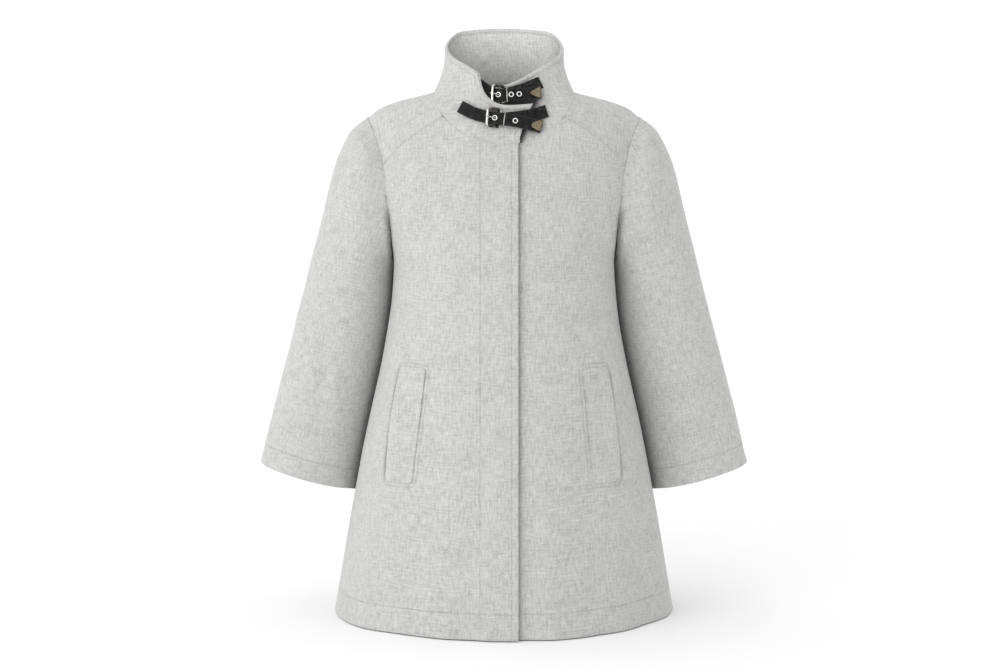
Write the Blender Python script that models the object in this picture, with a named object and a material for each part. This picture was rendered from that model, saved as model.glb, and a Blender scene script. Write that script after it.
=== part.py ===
"""A light grey wool swing coat with a buckled funnel collar, hollow and filled out as if worn.

Metres, +Z up. The front faces -Y and the wearer's left is +X. The origin is the middle of the
neck, level with the points where the shoulder line meets the collar.

The body panels lie on one form, a stack of level rings. A point of the form has an angle, from 0 at
centre front through 90 degrees at the wearer's left side to 180 at centre back, and a height.
"""

from bisect import bisect_right
from collections import namedtuple
from math import atan2, cos, degrees, pi, radians, sin

import bmesh
import bpy
from mathutils import Vector
from mathutils.bvhtree import BVHTree

# Driving dimensions
CLOTH = 0.0030  # felted wool with its facing
SEAM_GAP = 0.0003  # between neighbouring panels
OVERLAP = 0.0205  # the wearer's right front passes the centre by this
UNDERLAP = 0.035  # and the left front runs on under it by this
LAP_STEP = 0.0042  # from the lower front's outside to the upper front's
ROUND_CHEST, ROUND_HEM = 2.2, 1.95  # exponent of the body's rings: 2 is an ellipse
LAP_KEEP = 0.028  # the lap's step runs on past the other front's edge by this
LAP_FADE = 0.040  # and then runs out over this width
UNDERARM_CLEAR = 0.0012  # the sleeve keeps off the body by this under the arm

# How many strips each panel has
NECK_FRONT = 6  # along the neckline, from the front edge to the yoke
NECK_YOKE = 6  # along the neckline, over the shoulder
NECK_BACK = 8  # along the neckline, across the back
YOKE_STRIPS = 6  # along the shoulder, from the neck to the armhole
SIDE_ROWS = 11  # up the side seam
ARMHOLE_ROWS = 7  # up the armhole, from the underarm to the yoke
COLLAR_ROWS = 6
SLEEVE_RINGS = 20
SLEEVE_SET_BACK = 1  # the seam over the arm is this many strips behind the shoulder
SPLINE_STEPS = 12  # between two given points of a rounded line
ARMHOLE_SAMPLES = 60  # along a run of the armhole

# Rings of the body, from the hem up
Level = namedtuple("Level", "height half_width front_depth back_depth")
BODY_LEVELS = [
    Level(-0.767, 0.2565, 0.1990, 0.2080),
    Level(-0.594, 0.2255, 0.1835, 0.1840),
    Level(-0.485, 0.2040, 0.1725, 0.1675),
    Level(-0.412, 0.1870, 0.1650, 0.1550),
    Level(-0.340, 0.1725, 0.1540, 0.1420),
    Level(-0.285, 0.1660, 0.1460, 0.1330),
    Level(-0.243, 0.1645, 0.1400, 0.1270),
    Level(-0.210, 0.1735, 0.1380, 0.1240),
    Level(-0.178, 0.1840, 0.1340, 0.1210),
    Level(-0.144, 0.1936, 0.1270, 0.1170),
    Level(-0.100, 0.1965, 0.1150, 0.1110),
    Level(-0.067, 0.1970, 0.1045, 0.1050),
    Level(-0.0315, 0.2030, 0.0905, 0.0970),
    Level(-0.022, 0.1760, 0.0855, 0.0940),
    Level(-0.008, 0.1360, 0.0785, 0.0890),
    Level(0.0045, 0.1045, 0.0720, 0.0845),
    Level(0.025, 0.0930, 0.0620, 0.0780),
]
HEM = BODY_LEVELS[0].height

# Soft flares that start below the waist: where, how wide, and how far out at the hem
Flare = namedtuple("Flare", "angle half_angle depth")
FLARES = [
    Flare(-66, 15, 0.0040),
    Flare(-40, 13, -0.0025),
    Flare(42, 13, 0.0030),
    Flare(66, 13, -0.0100),
    Flare(118, 15, 0.0055),
    Flare(139, 15, -0.0070),
    Flare(165, 16, 0.0060),
    Flare(191, 15, -0.0065),
    Flare(217, 16, 0.0070),
    Flare(245, 15, -0.0060),
]
FLARE_TOP = -0.36
FLARE_REACH = 1.6  # a flare runs out at this many half angles
SQUARE_TOP = -0.30  # below this the rings change from the chest's exponent to the hem's

# The neckline seam, on one side, from centre front to centre back
Neck = namedtuple("Neck", "angle height")
NECKLINE = [
    Neck(0, -0.0745),
    Neck(13, -0.0723),
    Neck(23, -0.0675),
    Neck(34, -0.0540),
    Neck(45, -0.0365),
    Neck(63, -0.0060),
    Neck(80, 0.0035),
    Neck(90, 0.0050),
    Neck(125, 0.0130),
    Neck(155, 0.0205),
    Neck(180, 0.0230),
]
YOKE_FRONT_ANGLE = 46  # where the front yoke seam leaves the neckline
YOKE_BACK_ANGLE = 122  # where the back yoke seam leaves it

# The armhole seam: height, and how far in front of and behind the side line
Armhole = namedtuple("Armhole", "height front back")
ARMHOLE = [
    Armhole(-0.0315, 0.000, 0.000),
    Armhole(-0.0355, 0.017, 0.017),
    Armhole(-0.048, 0.030, 0.030),
    Armhole(-0.067, 0.041, 0.041),
    Armhole(-0.100, 0.056, 0.055),
    Armhole(-0.144, 0.066, 0.063),
    Armhole(-0.178, 0.064, 0.060),
    Armhole(-0.210, 0.050, 0.047),
    Armhole(-0.234, 0.025, 0.024),
    Armhole(-0.243, 0.000, 0.000),
]
YOKE_FRONT_HEIGHT = -0.104  # where the front yoke seam meets the armhole
YOKE_BACK_HEIGHT = -0.085
YOKE_FRONT_BOW = 0.006  # how far the front yoke seam bows up
YOKE_BACK_BOW = 0.004

# Rings of the wearer's left sleeve below the armhole, by their outer and inner ends
Ring = namedtuple("Ring", "outer_x outer_z inner_x inner_z front_depth back_depth middle_y")
SLEEVE = [
    Ring(0.2180, -0.0345, 0.1668, -0.2450, 0.069, 0.066, 0.000),
    Ring(0.2305, -0.0525, 0.1674, -0.2472, 0.071, 0.069, 0.002),
    Ring(0.2445, -0.0800, 0.1680, -0.2502, 0.073, 0.071, 0.004),
    Ring(0.2575, -0.1155, 0.1684, -0.2552, 0.074, 0.073, 0.008),
    Ring(0.2715, -0.1700, 0.1686, -0.2685, 0.074, 0.074, 0.014),
    Ring(0.2900, -0.2400, 0.1693, -0.3000, 0.072, 0.074, 0.021),
    Ring(0.3095, -0.3120, 0.1778, -0.3600, 0.070, 0.072, 0.026),
    Ring(0.3290, -0.3840, 0.1919, -0.4300, 0.067, 0.070, 0.030),
    Ring(0.3490, -0.4580, 0.2072, -0.5000, 0.064, 0.067, 0.033),
    Ring(0.3730, -0.5520, 0.2252, -0.5930, 0.062, 0.065, 0.035),
]

# The collar's top edge, from the end that laps over, round the wearer's right and the back
Rim = namedtuple("Rim", "turn side forward height")
RIM = [
    Rim(-11, 0.0410, 0.0945, -0.0165),
    Rim(0, 0.0140, 0.0985, -0.0190),
    Rim(11, -0.0150, 0.0980, -0.0190),
    Rim(17, -0.0280, 0.0970, -0.0060),
    Rim(23, -0.0350, 0.0955, 0.0120),
    Rim(29, -0.0395, 0.0925, 0.0325),
    Rim(38, -0.0570, 0.0780, 0.0405),
    Rim(48, -0.0715, 0.0555, 0.0495),
    Rim(68, -0.0840, 0.0250, 0.0630),
    Rim(90, -0.0875, 0.0000, 0.0725),
    Rim(135, -0.0690, -0.0575, 0.0980),
    Rim(180, 0.0000, -0.0745, 0.1045),
    Rim(225, 0.0700, -0.0575, 0.0980),
    Rim(270, 0.0885, 0.0000, 0.0700),
    Rim(292, 0.0845, 0.0220, 0.0590),
    Rim(312, 0.0717, 0.0430, 0.0495),
    Rim(325, 0.0530, 0.0640, 0.0365),
    Rim(338, 0.0350, 0.0750, 0.0245),
    Rim(350, 0.0130, 0.0810, 0.0140),
    Rim(361, -0.0120, 0.0820, 0.0085),
    Rim(378, -0.0360, 0.0780, 0.0100),
]
COLLAR_WAIST = 0.005  # the stand draws in this far between its edges

# Pocket welts, as seen from the front
WELT_TOP, WELT_BOTTOM = -0.393, -0.558
WELT_TOP_INNER, WELT_TOP_OUTER = 0.111, 0.149
WELT_BOTTOM_INNER, WELT_BOTTOM_OUTER = 0.131, 0.169
WELT_CLOTH = 0.0026
WELT_STRIPS, WELT_ROWS = 5, 14
WELT_REST = 0.0006  # clear of the panel

# Leather straps at the collar, as seen from the front: middle line of each piece
STRAP_WIDTH = 0.0182
LEATHER = 0.0018
STRAP_STEPS = 22
STRAP_REST = 0.0008  # clear of what a strap lies on
STRAP_SHARES = (-0.5, -0.25, 0.0, 0.25, 0.5)
STRAP_SPAN = range(-2, 3)  # a strap bridges hollows over this many steps each way
Spot = namedtuple("Spot", "x z")
STRAPS = {
    "upper": {
        "tab": [Spot(0.0530, 0.0150), Spot(0.0360, 0.0072), Spot(0.0180, 0.0006), Spot(0.0050, -0.0028)],
        "tongue": [
            Spot(-0.0440, 0.0155),
            Spot(-0.0350, 0.0100),
            Spot(-0.0190, -0.0018),
            Spot(-0.0058, -0.0040),
            Spot(0.0150, -0.0035),
            Spot(0.0350, -0.0020),
            Spot(0.0530, -0.0002),
        ],
        "bar": Spot(0.0004, -0.0038),
        "eyelets": [-0.0080, 0.0102, 0.0216],
        "keeper": 0.0042,
    },
    "lower": {
        "tab": [Spot(0.0618, -0.0268), Spot(0.0400, -0.0328), Spot(0.0180, -0.0364), Spot(0.0010, -0.0384)],
        "tongue": [
            Spot(-0.0631, -0.0205),
            Spot(-0.0440, -0.0303),
            Spot(-0.0246, -0.0356),
            Spot(-0.0014, -0.0388),
            Spot(0.0159, -0.0414),
            Spot(0.0376, -0.0460),
            Spot(0.0535, -0.0500),
        ],
        "bar": Spot(-0.0048, -0.0383),
        "eyelets": [-0.0130, 0.0160],
        "keeper": 0.0004,
    },
}

# Metal fittings
FRAME_LENGTH = 0.0182  # from the bar under the tongue to the one over it
FRAME_MARGIN = 0.0030  # from the strap's edge to the middle of the frame's side
FRAME_WIRE = 0.0015
FRAME_CORNER = 0.004
FRAME_REST = 0.0010  # the frame clears the collar and the tongue by this
BAR_LIFT = 2 * FRAME_WIRE + 2 * FRAME_REST  # the tongue rises this far over the lower bar
BAR_FULL, BAR_REACH = 0.004, 0.012  # that rise is full this near the bar, and runs out this far off
PRONG_WIRE = 0.0008
PRONG_RISE, PRONG_TAIL = 0.0018, 0.0013
KEEPER_WIRE = 0.0010
EYELET_OUTER, EYELET_WIRE = 0.0042, 0.0010
EYELET_ROUND, EYELET_SIDES = 14, 6
WIRE_ROUND = 2  # curve bevel resolution
TIP_LENGTH, TIP_WIDTH, TIP_PLATE = 0.0165, 0.0172, 0.0011
TIP_ACROSS, TIP_ALONG = 8, 4
TIP_SIDE = 0.45  # of its length, at the edges of its round end

FRONT = Vector((0.0, -1.0, 0.0))


# Interpolation

def smooth_curve(places, values):
    """A function through the values that stays between neighbours and has no corners."""
    steps = [b - a for a, b in zip(places, places[1:])]
    slopes = [(b - a) / step for a, b, step in zip(values, values[1:], steps)]
    tangents = [slopes[0]]
    for before, after in zip(slopes, slopes[1:]):
        tangents.append(0.0 if before * after <= 0 else 2 * before * after / (before + after))
    tangents.append(slopes[-1])

    def value(place):
        k = min(max(bisect_right(places, place) - 1, 0), len(steps) - 1)
        t = (place - places[k]) / steps[k]
        start = (1 + 2 * t) * (1 - t) ** 2 * values[k] + t * (1 - t) ** 2 * steps[k] * tangents[k]
        end = t * t * (3 - 2 * t) * values[k + 1] + t * t * (t - 1) * steps[k] * tangents[k + 1]
        return start + end

    return value


def table_curves(rows):
    """One smooth function of the first column for each other column of a table."""
    places = [row[0] for row in rows]
    return [smooth_curve(places, [row[k] for row in rows]) for k in range(1, len(rows[0]))]


def smoothstep(low, high, value):
    t = min(max((value - low) / (high - low), 0.0), 1.0)
    return t * t * (3 - 2 * t)


def mix(a, b, t):
    return a + (b - a) * t


def spread(points, count):
    """That many equal steps along a line of points, after it is rounded by a spline."""
    fine = []
    for k in range(len(points) - 1):
        before, start = points[max(k - 1, 0)], points[k]
        end, after = points[k + 1], points[min(k + 2, len(points) - 1)]
        for step in range(SPLINE_STEPS):
            t = step / SPLINE_STEPS
            bend = (end - before) * 0.5 * (t * (1 - t) ** 2) - (after - start) * 0.5 * (t * t * (1 - t))
            fine.append(start * ((1 + 2 * t) * (1 - t) ** 2) + end * (t * t * (3 - 2 * t)) + bend)
    fine.append(points[-1])
    along = [0.0]
    for a, b in zip(fine, fine[1:]):
        along.append(along[-1] + (b - a).length)
    result = []
    for step in range(count + 1):
        reach = along[-1] * step / count
        k = min(max(bisect_right(along, reach) - 1, 0), len(fine) - 2)
        result.append(fine[k].lerp(fine[k + 1], (reach - along[k]) / (along[k + 1] - along[k])))
    return result


# The body form

half_width, front_depth, back_depth = table_curves(BODY_LEVELS)
neck_height = table_curves(NECKLINE)[0]


def flare(angle, height):
    """How far the flares push the form out."""
    fade = smoothstep(FLARE_TOP, HEM, height)
    out = 0.0
    for row in FLARES:
        away = (degrees(angle) - row.angle + 180) % 360 - 180
        reach = FLARE_REACH * row.half_angle
        if abs(away) < reach:
            out += row.depth * cos(pi / 2 * away / reach) ** 2
    return fade * out


def exponent(height):
    return mix(ROUND_CHEST, ROUND_HEM, smoothstep(SQUARE_TOP, HEM, height))


def ring_point(angle, height):
    depth = front_depth(height) if cos(angle) > 0 else back_depth(height)
    power = exponent(height)
    across = (abs(sin(angle)) / half_width(height)) ** power
    along = (abs(cos(angle)) / depth) ** power
    radius = (across + along) ** (-1 / power) + flare(angle, height)
    return Vector((radius * sin(angle), -radius * cos(angle), height))


def form_normal(angle, height):
    step = 1e-4
    round_it = ring_point(angle + step, height) - ring_point(angle - step, height)
    up = ring_point(angle, height + step) - ring_point(angle, height - step)
    return round_it.cross(up).normalized()


def angle_of_side(side, height):
    """The angle of the front point that is this far to the wearer's left."""
    power = exponent(height)
    share = min(abs(side) / half_width(height), 1.0) ** power
    forward = front_depth(height) * (1 - share) ** (1 / power)
    return atan2(side, forward)


def angle_of_depth(depth, height, front):
    """The angle of the left-hand point that is this far in front of, or behind, the side line."""
    most = front_depth(height) if front else back_depth(height)
    power = exponent(height)
    side = half_width(height) * (1 - (depth / most) ** power) ** (1 / power)
    return atan2(side, depth if front else -depth)


def neck_spot(angle_degrees):
    """A point of the neckline on the flat chart of angle and height."""
    return Vector((radians(angle_degrees), neck_height(abs(angle_degrees))))


# Seams on the chart of angle and height, for the wearer's left half

def armhole_run(front, start, end, count):
    """Equal steps along the armhole from one height to another, in front or behind."""
    rows = list(reversed(ARMHOLE))
    heights = [row.height for row in rows]
    reach = smooth_curve(heights, [row.front if front else row.back for row in rows])
    fine = []
    for k in range(ARMHOLE_SAMPLES + 1):
        turn = pi * k / ARMHOLE_SAMPLES
        height = mix(start, end, (1 - cos(turn)) / 2)
        angle = angle_of_depth(max(reach(height), 0.0), height, front)
        fine.append((Vector((angle, height)), ring_point(angle, height)))
    along = [0.0]
    for a, b in zip(fine, fine[1:]):
        along.append(along[-1] + (b[1] - a[1]).length)
    result = []
    for step in range(count + 1):
        want = along[-1] * step / count
        k = min(max(bisect_right(along, want) - 1, 0), ARMHOLE_SAMPLES - 1)
        result.append(fine[k][0].lerp(fine[k + 1][0], (want - along[k]) / (along[k + 1] - along[k])))
    return result


def seam_line(start, end, bow, count):
    """A seam from one chart point to another that bows up in the middle."""
    return [start.lerp(end, k / count) + Vector((0, bow * sin(pi * k / count))) for k in range(count + 1)]


UNDERARM, SHOULDER = ARMHOLE[-1].height, ARMHOLE[0].height
armhole_front = armhole_run(True, UNDERARM, YOKE_FRONT_HEIGHT, ARMHOLE_ROWS)
armhole_back = armhole_run(False, UNDERARM, YOKE_BACK_HEIGHT, ARMHOLE_ROWS)
armhole_yoke = (
    armhole_run(True, YOKE_FRONT_HEIGHT, SHOULDER, NECK_YOKE // 2)
    + armhole_run(False, SHOULDER, YOKE_BACK_HEIGHT, NECK_YOKE // 2)[1:]
)
side_seam = [Vector((pi / 2, mix(HEM, UNDERARM, k / SIDE_ROWS))) for k in range(SIDE_ROWS + 1)]
yoke_front_seam = seam_line(neck_spot(YOKE_FRONT_ANGLE), armhole_front[-1], YOKE_FRONT_BOW, YOKE_STRIPS)
yoke_back_seam = seam_line(neck_spot(YOKE_BACK_ANGLE), armhole_back[-1], YOKE_BACK_BOW, YOKE_STRIPS)
neck_over_yoke = [
    neck_spot(mix(YOKE_FRONT_ANGLE, YOKE_BACK_ANGLE, k / NECK_YOKE)) for k in range(NECK_YOKE + 1)
]


def patch(bottom, top, left, right):
    """Rows of chart points filled in between four edges that share their corners."""
    columns, rows = len(bottom) - 1, len(left) - 1
    result = []
    for i in range(rows + 1):
        v = i / rows
        row = []
        for j in range(columns + 1):
            u = j / columns
            between = bottom[j] * (1 - v) + top[j] * v + left[i] * (1 - u) + right[i] * u
            corners = (bottom[0] * (1 - u) + bottom[-1] * u) * (1 - v) + (top[0] * (1 - u) + top[-1] * u) * v
            row.append(between - corners)
        result.append(row)
    return result


# Making solids

def clear_scene():
    for obj in list(bpy.data.objects):
        bpy.data.objects.remove(obj, do_unlink=True)


def finish_material(name, colour, roughness, metallic):
    material = bpy.data.materials.new(name)
    material.use_nodes = True
    shader = material.node_tree.nodes["Principled BSDF"]
    shader.inputs["Base Color"].default_value = (*colour, 1.0)
    shader.inputs["Roughness"].default_value = roughness
    shader.inputs["Metallic"].default_value = metallic
    return material


def add_object(name, data, material):
    obj = bpy.data.objects.new(name, data)
    data.materials.append(material)
    coat.objects.link(obj)
    return obj


def wall(name, outer, inner, material):
    """A closed wall between two grids of points."""
    rows, columns = len(outer) - 1, len(outer[0]) - 1
    mesh = bmesh.new()
    bmesh.ops.create_grid(mesh, x_segments=columns, y_segments=rows, size=1.0)
    row_of, column_of = mesh.verts.layers.int.new("row"), mesh.verts.layers.int.new("column")
    for vert in mesh.verts:
        vert[row_of] = round((vert.co.y + 1) / 2 * rows)
        vert[column_of] = round((vert.co.x + 1) / 2 * columns)
        vert.co = outer[vert[row_of]][vert[column_of]]
    lifted = bmesh.ops.extrude_face_region(mesh, geom=mesh.faces[:], use_keep_orig=True)
    for vert in lifted["geom"]:
        if isinstance(vert, bmesh.types.BMVert):
            vert.co = inner[vert[row_of]][vert[column_of]]
    bmesh.ops.recalc_face_normals(mesh, faces=mesh.faces)
    bmesh.ops.triangulate(mesh, faces=mesh.faces)
    data = bpy.data.meshes.new(name)
    mesh.to_mesh(data)
    mesh.free()
    data.shade_smooth()
    data.set_sharp_from_angle(angle=radians(50))
    return add_object(name, data, material)


def drawn_in(points, top=True, bottom=True, left=True, right=True, gap=SEAM_GAP / 2):
    """The grid with the edges that meet another piece drawn in by half the seam's gap."""
    result = [[point.copy() for point in row] for row in points]
    if bottom:
        for j, point in enumerate(points[0]):
            result[0][j] += (points[1][j] - point).normalized() * gap
    if top:
        for j, point in enumerate(points[-1]):
            result[-1][j] += (points[-2][j] - point).normalized() * gap
    for i, row in enumerate(points):
        if left:
            result[i][0] += (row[1] - row[0]).normalized() * gap
        if right:
            result[i][-1] += (row[-2] - row[-1]).normalized() * gap
    return result


def grid_normals(points, tube, outward):
    """Unit normals of a grid, turned to the side that outward(point) gives."""
    rows, columns = len(points) - 1, len(points[0]) - 1
    result = []
    for i in range(rows + 1):
        line = []
        for j in range(columns + 1):
            before, after = (j - 1, j + 1) if 0 < j < columns else (max(j - 1, 0), min(j + 1, columns))
            if tube and j in (0, columns):
                before, after = columns - 1, 1
            along = points[i][after] - points[i][before]
            up = points[min(i + 1, rows)][j] - points[max(i - 1, 0)][j]
            normal = along.cross(up).normalized()
            line.append(normal if normal.dot(outward(points[i][j])) > 0 else -normal)
        result.append(line)
    return result


def body_panel(name, chart, side, lift=None, **edges):
    """A wall on the body form. Side is -1 for the wearer's right, and lift pushes points out."""
    outer, inner = [], []
    for row in chart:
        normals = [form_normal(side * spot.x, spot.y) for spot in row]
        points = [ring_point(side * spot.x, spot.y) for spot in row]
        if lift:
            points = [point + normal * lift(point) for point, normal in zip(points, normals)]
        outer.append(points)
        inner.append([normal * -CLOTH for normal in normals])
    outer = drawn_in(outer, bottom=False, **edges)
    inner = [[point + step for point, step in zip(*rows)] for rows in zip(outer, inner)]
    return wall(name, outer, inner, wool)


# Body panels

def over_lift(point):
    """The upper front rises over the lower one, which runs to UNDERLAP past the centre."""
    full = -UNDERLAP - LAP_KEEP
    return LAP_STEP / 2 * smoothstep(full - LAP_FADE, full, point.x)


def under_lift(point):
    """The lower front sinks under the upper one."""
    full = OVERLAP + LAP_KEEP
    return -LAP_STEP / 2 * smoothstep(full + LAP_FADE, full, point.x)


def front_chart(past_centre):
    """A front from its edge, past the centre, to the side seam and armhole."""
    right = side_seam + armhole_front[1:]
    rows = len(right) - 1
    edge_top = neck_height(0)
    left = []
    for k in range(rows + 1):
        height = mix(HEM, edge_top, k / rows)
        left.append(Vector((angle_of_side(-past_centre, height), height)))
    neck_start = degrees(left[-1].x)
    neckline = [neck_spot(mix(neck_start, YOKE_FRONT_ANGLE, k / NECK_FRONT)) for k in range(NECK_FRONT + 1)]
    left[-1] = neckline[0]
    top = neckline + yoke_front_seam[1:]
    columns = len(top) - 1
    bottom = [left[0].lerp(right[0], k / columns) for k in range(columns + 1)]
    return patch(bottom, top, left, right)


def back_chart():
    """The back from the wearer's left side seam round to the right."""
    left = side_seam + armhole_back[1:]
    right = [Vector((2 * pi - spot.x, spot.y)) for spot in left]
    turned = [Vector((2 * pi - spot.x, spot.y)) for spot in yoke_back_seam]
    neckline = []
    for k in range(NECK_BACK + 1):
        angle = mix(YOKE_BACK_ANGLE, 360 - YOKE_BACK_ANGLE, k / NECK_BACK)
        neckline.append(Vector((radians(angle), neck_height(180 - abs(180 - angle)))))
    top = list(reversed(yoke_back_seam)) + neckline[1:-1] + turned
    columns = len(top) - 1
    bottom = [left[0].lerp(right[0], k / columns) for k in range(columns + 1)]
    return patch(bottom, top, left, right)


def left_yoke():
    """The wearer's left yoke from the front seam over to the back seam, neck first: points and normals."""
    edges = [yoke_front_seam, yoke_back_seam, neck_over_yoke, armhole_yoke]
    points = patch(*[[ring_point(spot.x, spot.y) for spot in edge] for edge in edges])
    normals = grid_normals(points, False, lambda point: Vector((0, 0, 1)))
    for row, seam in ((0, yoke_front_seam), (-1, yoke_back_seam)):
        normals[row] = [form_normal(spot.x, spot.y) for spot in seam]
    return points, normals


def make_body():
    body_panel("front_right", front_chart(OVERLAP), -1, over_lift, left=False)
    body_panel("front_left", front_chart(UNDERLAP), 1, under_lift, left=False)
    body_panel("back", back_chart(), 1)
    for name, side in (("yoke_right", -1), ("yoke_left", 1)):
        yoke_panel(name, side)


def yoke_panel(name, side):
    points, normals = left_yoke()
    mirror = Vector((side, 1, 1))
    outer = drawn_in(points)
    inner = [[(p - n * CLOTH) * mirror for p, n in zip(*rows)] for rows in zip(outer, normals)]
    wall(name, [[point * mirror for point in row] for row in outer], inner, wool)


# Sleeves

def armhole_loop():
    """The left armhole from the shoulder round the front, underarm and back: chart points and normals."""
    half = NECK_YOKE // 2
    front = list(reversed(armhole_yoke[: half + 1])) + list(reversed(armhole_front))[1:]
    back = armhole_back + list(reversed(armhole_yoke[half:]))[1:]
    loop = front + back[1:]
    normals = [form_normal(spot.x, spot.y) for spot in loop]
    edge = [row[-1] for row in left_yoke()[1]]
    for k in range(half + 1):
        normals[k] = edge[half - k]
        normals[-1 - k] = edge[half + k]
    return len(front) - 1, loop, normals


def sleeve_points(loop, turns):
    """Lines of points down the sleeve, one for each point of the armhole."""
    lines = []
    for spot, turn in zip(loop, turns):
        line = [ring_point(spot.x, spot.y)]
        for ring in SLEEVE:
            outer = Vector((ring.outer_x, 0, ring.outer_z))
            inner = Vector((ring.inner_x, 0, ring.inner_z))
            depth = ring.front_depth if sin(turn) > 0 else ring.back_depth
            point = (outer + inner) / 2 + (outer - inner) / 2 * cos(turn)
            line.append(point + Vector((0, ring.middle_y - depth * sin(turn), 0)))
        lines.append(spread(line, SLEEVE_RINGS))
    return lines


def sleeve_form():
    """The wearer's left sleeve, ring by ring from the shoulder round the front: points and normals."""
    underarm, loop, body_normals = armhole_loop()
    points = [ring_point(spot.x, spot.y) for spot in loop]
    along = [0.0]
    for a, b in zip(points, points[1:]):
        along.append(along[-1] + (b - a).length)
    middle = along[underarm]
    turns = []
    for reach in along:
        turns.append(pi * reach / middle if reach <= middle else pi + pi * (reach - middle) / (along[-1] - middle))
    lines = sleeve_points(loop, turns)
    outer = [[line[i] for line in lines] for i in range(SLEEVE_RINGS + 1)]
    centres = [sum(row[:-1], Vector()) / (len(row) - 1) for row in outer]
    middles = {id(point): centre for row, centre in zip(outer, centres) for point in row}
    normals = grid_normals(outer, True, lambda point: point - middles[id(point)])
    for j, body in enumerate(body_normals):
        share = smoothstep(0.0, 0.5, body.dot(normals[0][j]))
        normals[0][j] = normals[0][j].lerp(body, share).normalized()
        outer[0][j] = outer[0][j] + (outer[1][j] - outer[0][j]).normalized() * SEAM_GAP
        outer[0][j].x += UNDERARM_CLEAR * (1 - share)
    return underarm, outer, normals


def make_sleeve(name, side):
    """A sleeve sewn from a front and a back piece, with seams over and under the arm."""
    underarm, points, normals = sleeve_form()
    around = len(points[0]) - 1
    over = around - SLEEVE_SET_BACK
    front = list(range(over, around)) + list(range(underarm + 1))
    back = list(range(underarm, over + 1))
    mirror = Vector((side, 1, 1))
    for piece, columns in (("front", front), ("back", back)):
        outer = drawn_in([[row[j] for j in columns] for row in points], top=False, bottom=False)
        inward = [[row[j] * -CLOTH for j in columns] for row in normals]
        inner = [[(p + step) * mirror for p, step in zip(*rows)] for rows in zip(outer, inward)]
        wall(f"{name}_{piece}", [[point * mirror for point in row] for row in outer], inner, wool)


# Collar

def collar_stations():
    """The neckline from the end that laps over to the end that runs under: turn and point."""
    stations = []
    for past_centre, side, lift in ((OVERLAP, -1, over_lift), (UNDERLAP, 1, under_lift)):
        edge = angle_of_side(-past_centre, neck_height(0))
        run = []
        for k in range(NECK_FRONT):
            angle = mix(degrees(edge), YOKE_FRONT_ANGLE, k / NECK_FRONT)
            spot = neck_spot(angle)
            point = ring_point(side * spot.x, spot.y)
            point += form_normal(side * spot.x, spot.y) * lift(point)
            run.append((angle, point))
        for k in range(NECK_YOKE):
            angle = mix(YOKE_FRONT_ANGLE, YOKE_BACK_ANGLE, k / NECK_YOKE)
            run.append((angle, ring_point(radians(side * angle), neck_height(angle))))
        stations.append(run)
    over, under = stations
    back = []
    for k in range(NECK_BACK + 1):
        turn = mix(YOKE_BACK_ANGLE, 360 - YOKE_BACK_ANGLE, k / NECK_BACK)
        back.append((turn, ring_point(radians(-turn), neck_height(180 - abs(180 - turn)))))
    return over + back + [(360 - angle, point) for angle, point in reversed(under)]


def make_collar():
    """One band round the neck, whose right end laps over its left end."""
    side, forward, height = table_curves(RIM)
    columns = []
    for turn, base in collar_stations():
        rim = Vector((side(turn), -forward(turn), height(turn)))
        away = Vector((base.x + rim.x, base.y + rim.y, 0)).normalized()
        base = base + (rim - base).normalized() * SEAM_GAP * 2
        column = []
        for k in range(COLLAR_ROWS + 1):
            t = k / COLLAR_ROWS
            column.append(base.lerp(rim, t) - away * COLLAR_WAIST * sin(pi * t))
        columns.append(column)
    outer = [[column[i] for column in columns] for i in range(COLLAR_ROWS + 1)]
    normals = grid_normals(outer, False, lambda point: Vector((point.x, point.y, 0)))
    inner = [[p - n * CLOTH for p, n in zip(*rows)] for rows in zip(outer, normals)]
    wall("collar", outer, inner, wool)
    return outer


# Pocket welts

def make_welt(name, side):
    """A slanted welt that lies on a front panel."""
    panel = surface_of(bpy.data.objects["front_right" if side < 0 else "front_left"])
    under, outer = [], []
    for i in range(WELT_ROWS + 1):
        v = i / WELT_ROWS
        height = mix(WELT_BOTTOM, WELT_TOP, v)
        first = mix(WELT_BOTTOM_INNER, WELT_TOP_INNER, v)
        last = mix(WELT_BOTTOM_OUTER, WELT_TOP_OUTER, v)
        row = []
        for j in range(WELT_STRIPS + 1):
            place = first_hit([panel], side * mix(first, last, j / WELT_STRIPS), height)
            row.append((place, form_normal(atan2(place.x, -place.y), height)))
        under.append([place + normal * WELT_REST for place, normal in row])
        outer.append([place + normal * (WELT_REST + WELT_CLOTH) for place, normal in row])
    wall(name, outer, under, wool)


# Straps and their fittings

def surface_of(obj):
    return BVHTree.FromObject(obj, bpy.context.evaluated_depsgraph_get())


def surface_of_grid(points):
    flat = [point for row in points for point in row]
    wide = len(points[0])
    faces = []
    for i in range(len(points) - 1):
        for j in range(wide - 1):
            first = i * wide + j
            faces.append((first, first + 1, first + wide + 1, first + wide))
    return BVHTree.FromPolygons(flat, faces)


def first_hit(surfaces, x, z):
    """The foremost point of these surfaces at a place seen from the front, or None."""
    found = []
    for surface in surfaces:
        place = surface.ray_cast(Vector((x, -1, z)), -FRONT, 2.0)[0]
        if place is not None:
            found.append(place)
    return min(found, key=lambda place: place.y) if found else None


def strap_places(spots):
    """Places of a strap seen from the front, in lines along it, and its middle line."""
    middle = spread([Vector((spot.x, 0, spot.z)) for spot in spots], STRAP_STEPS)
    lines = [[] for _ in STRAP_SHARES]
    for k, point in enumerate(middle):
        along = middle[min(k + 1, STRAP_STEPS)] - middle[max(k - 1, 0)]
        across = Vector((-along.z, 0, along.x)).normalized()
        across = across if across.z > 0 else -across
        for line, share in zip(lines, STRAP_SHARES):
            line.append(point + across * STRAP_WIDTH * share)
    return lines, middle


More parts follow.
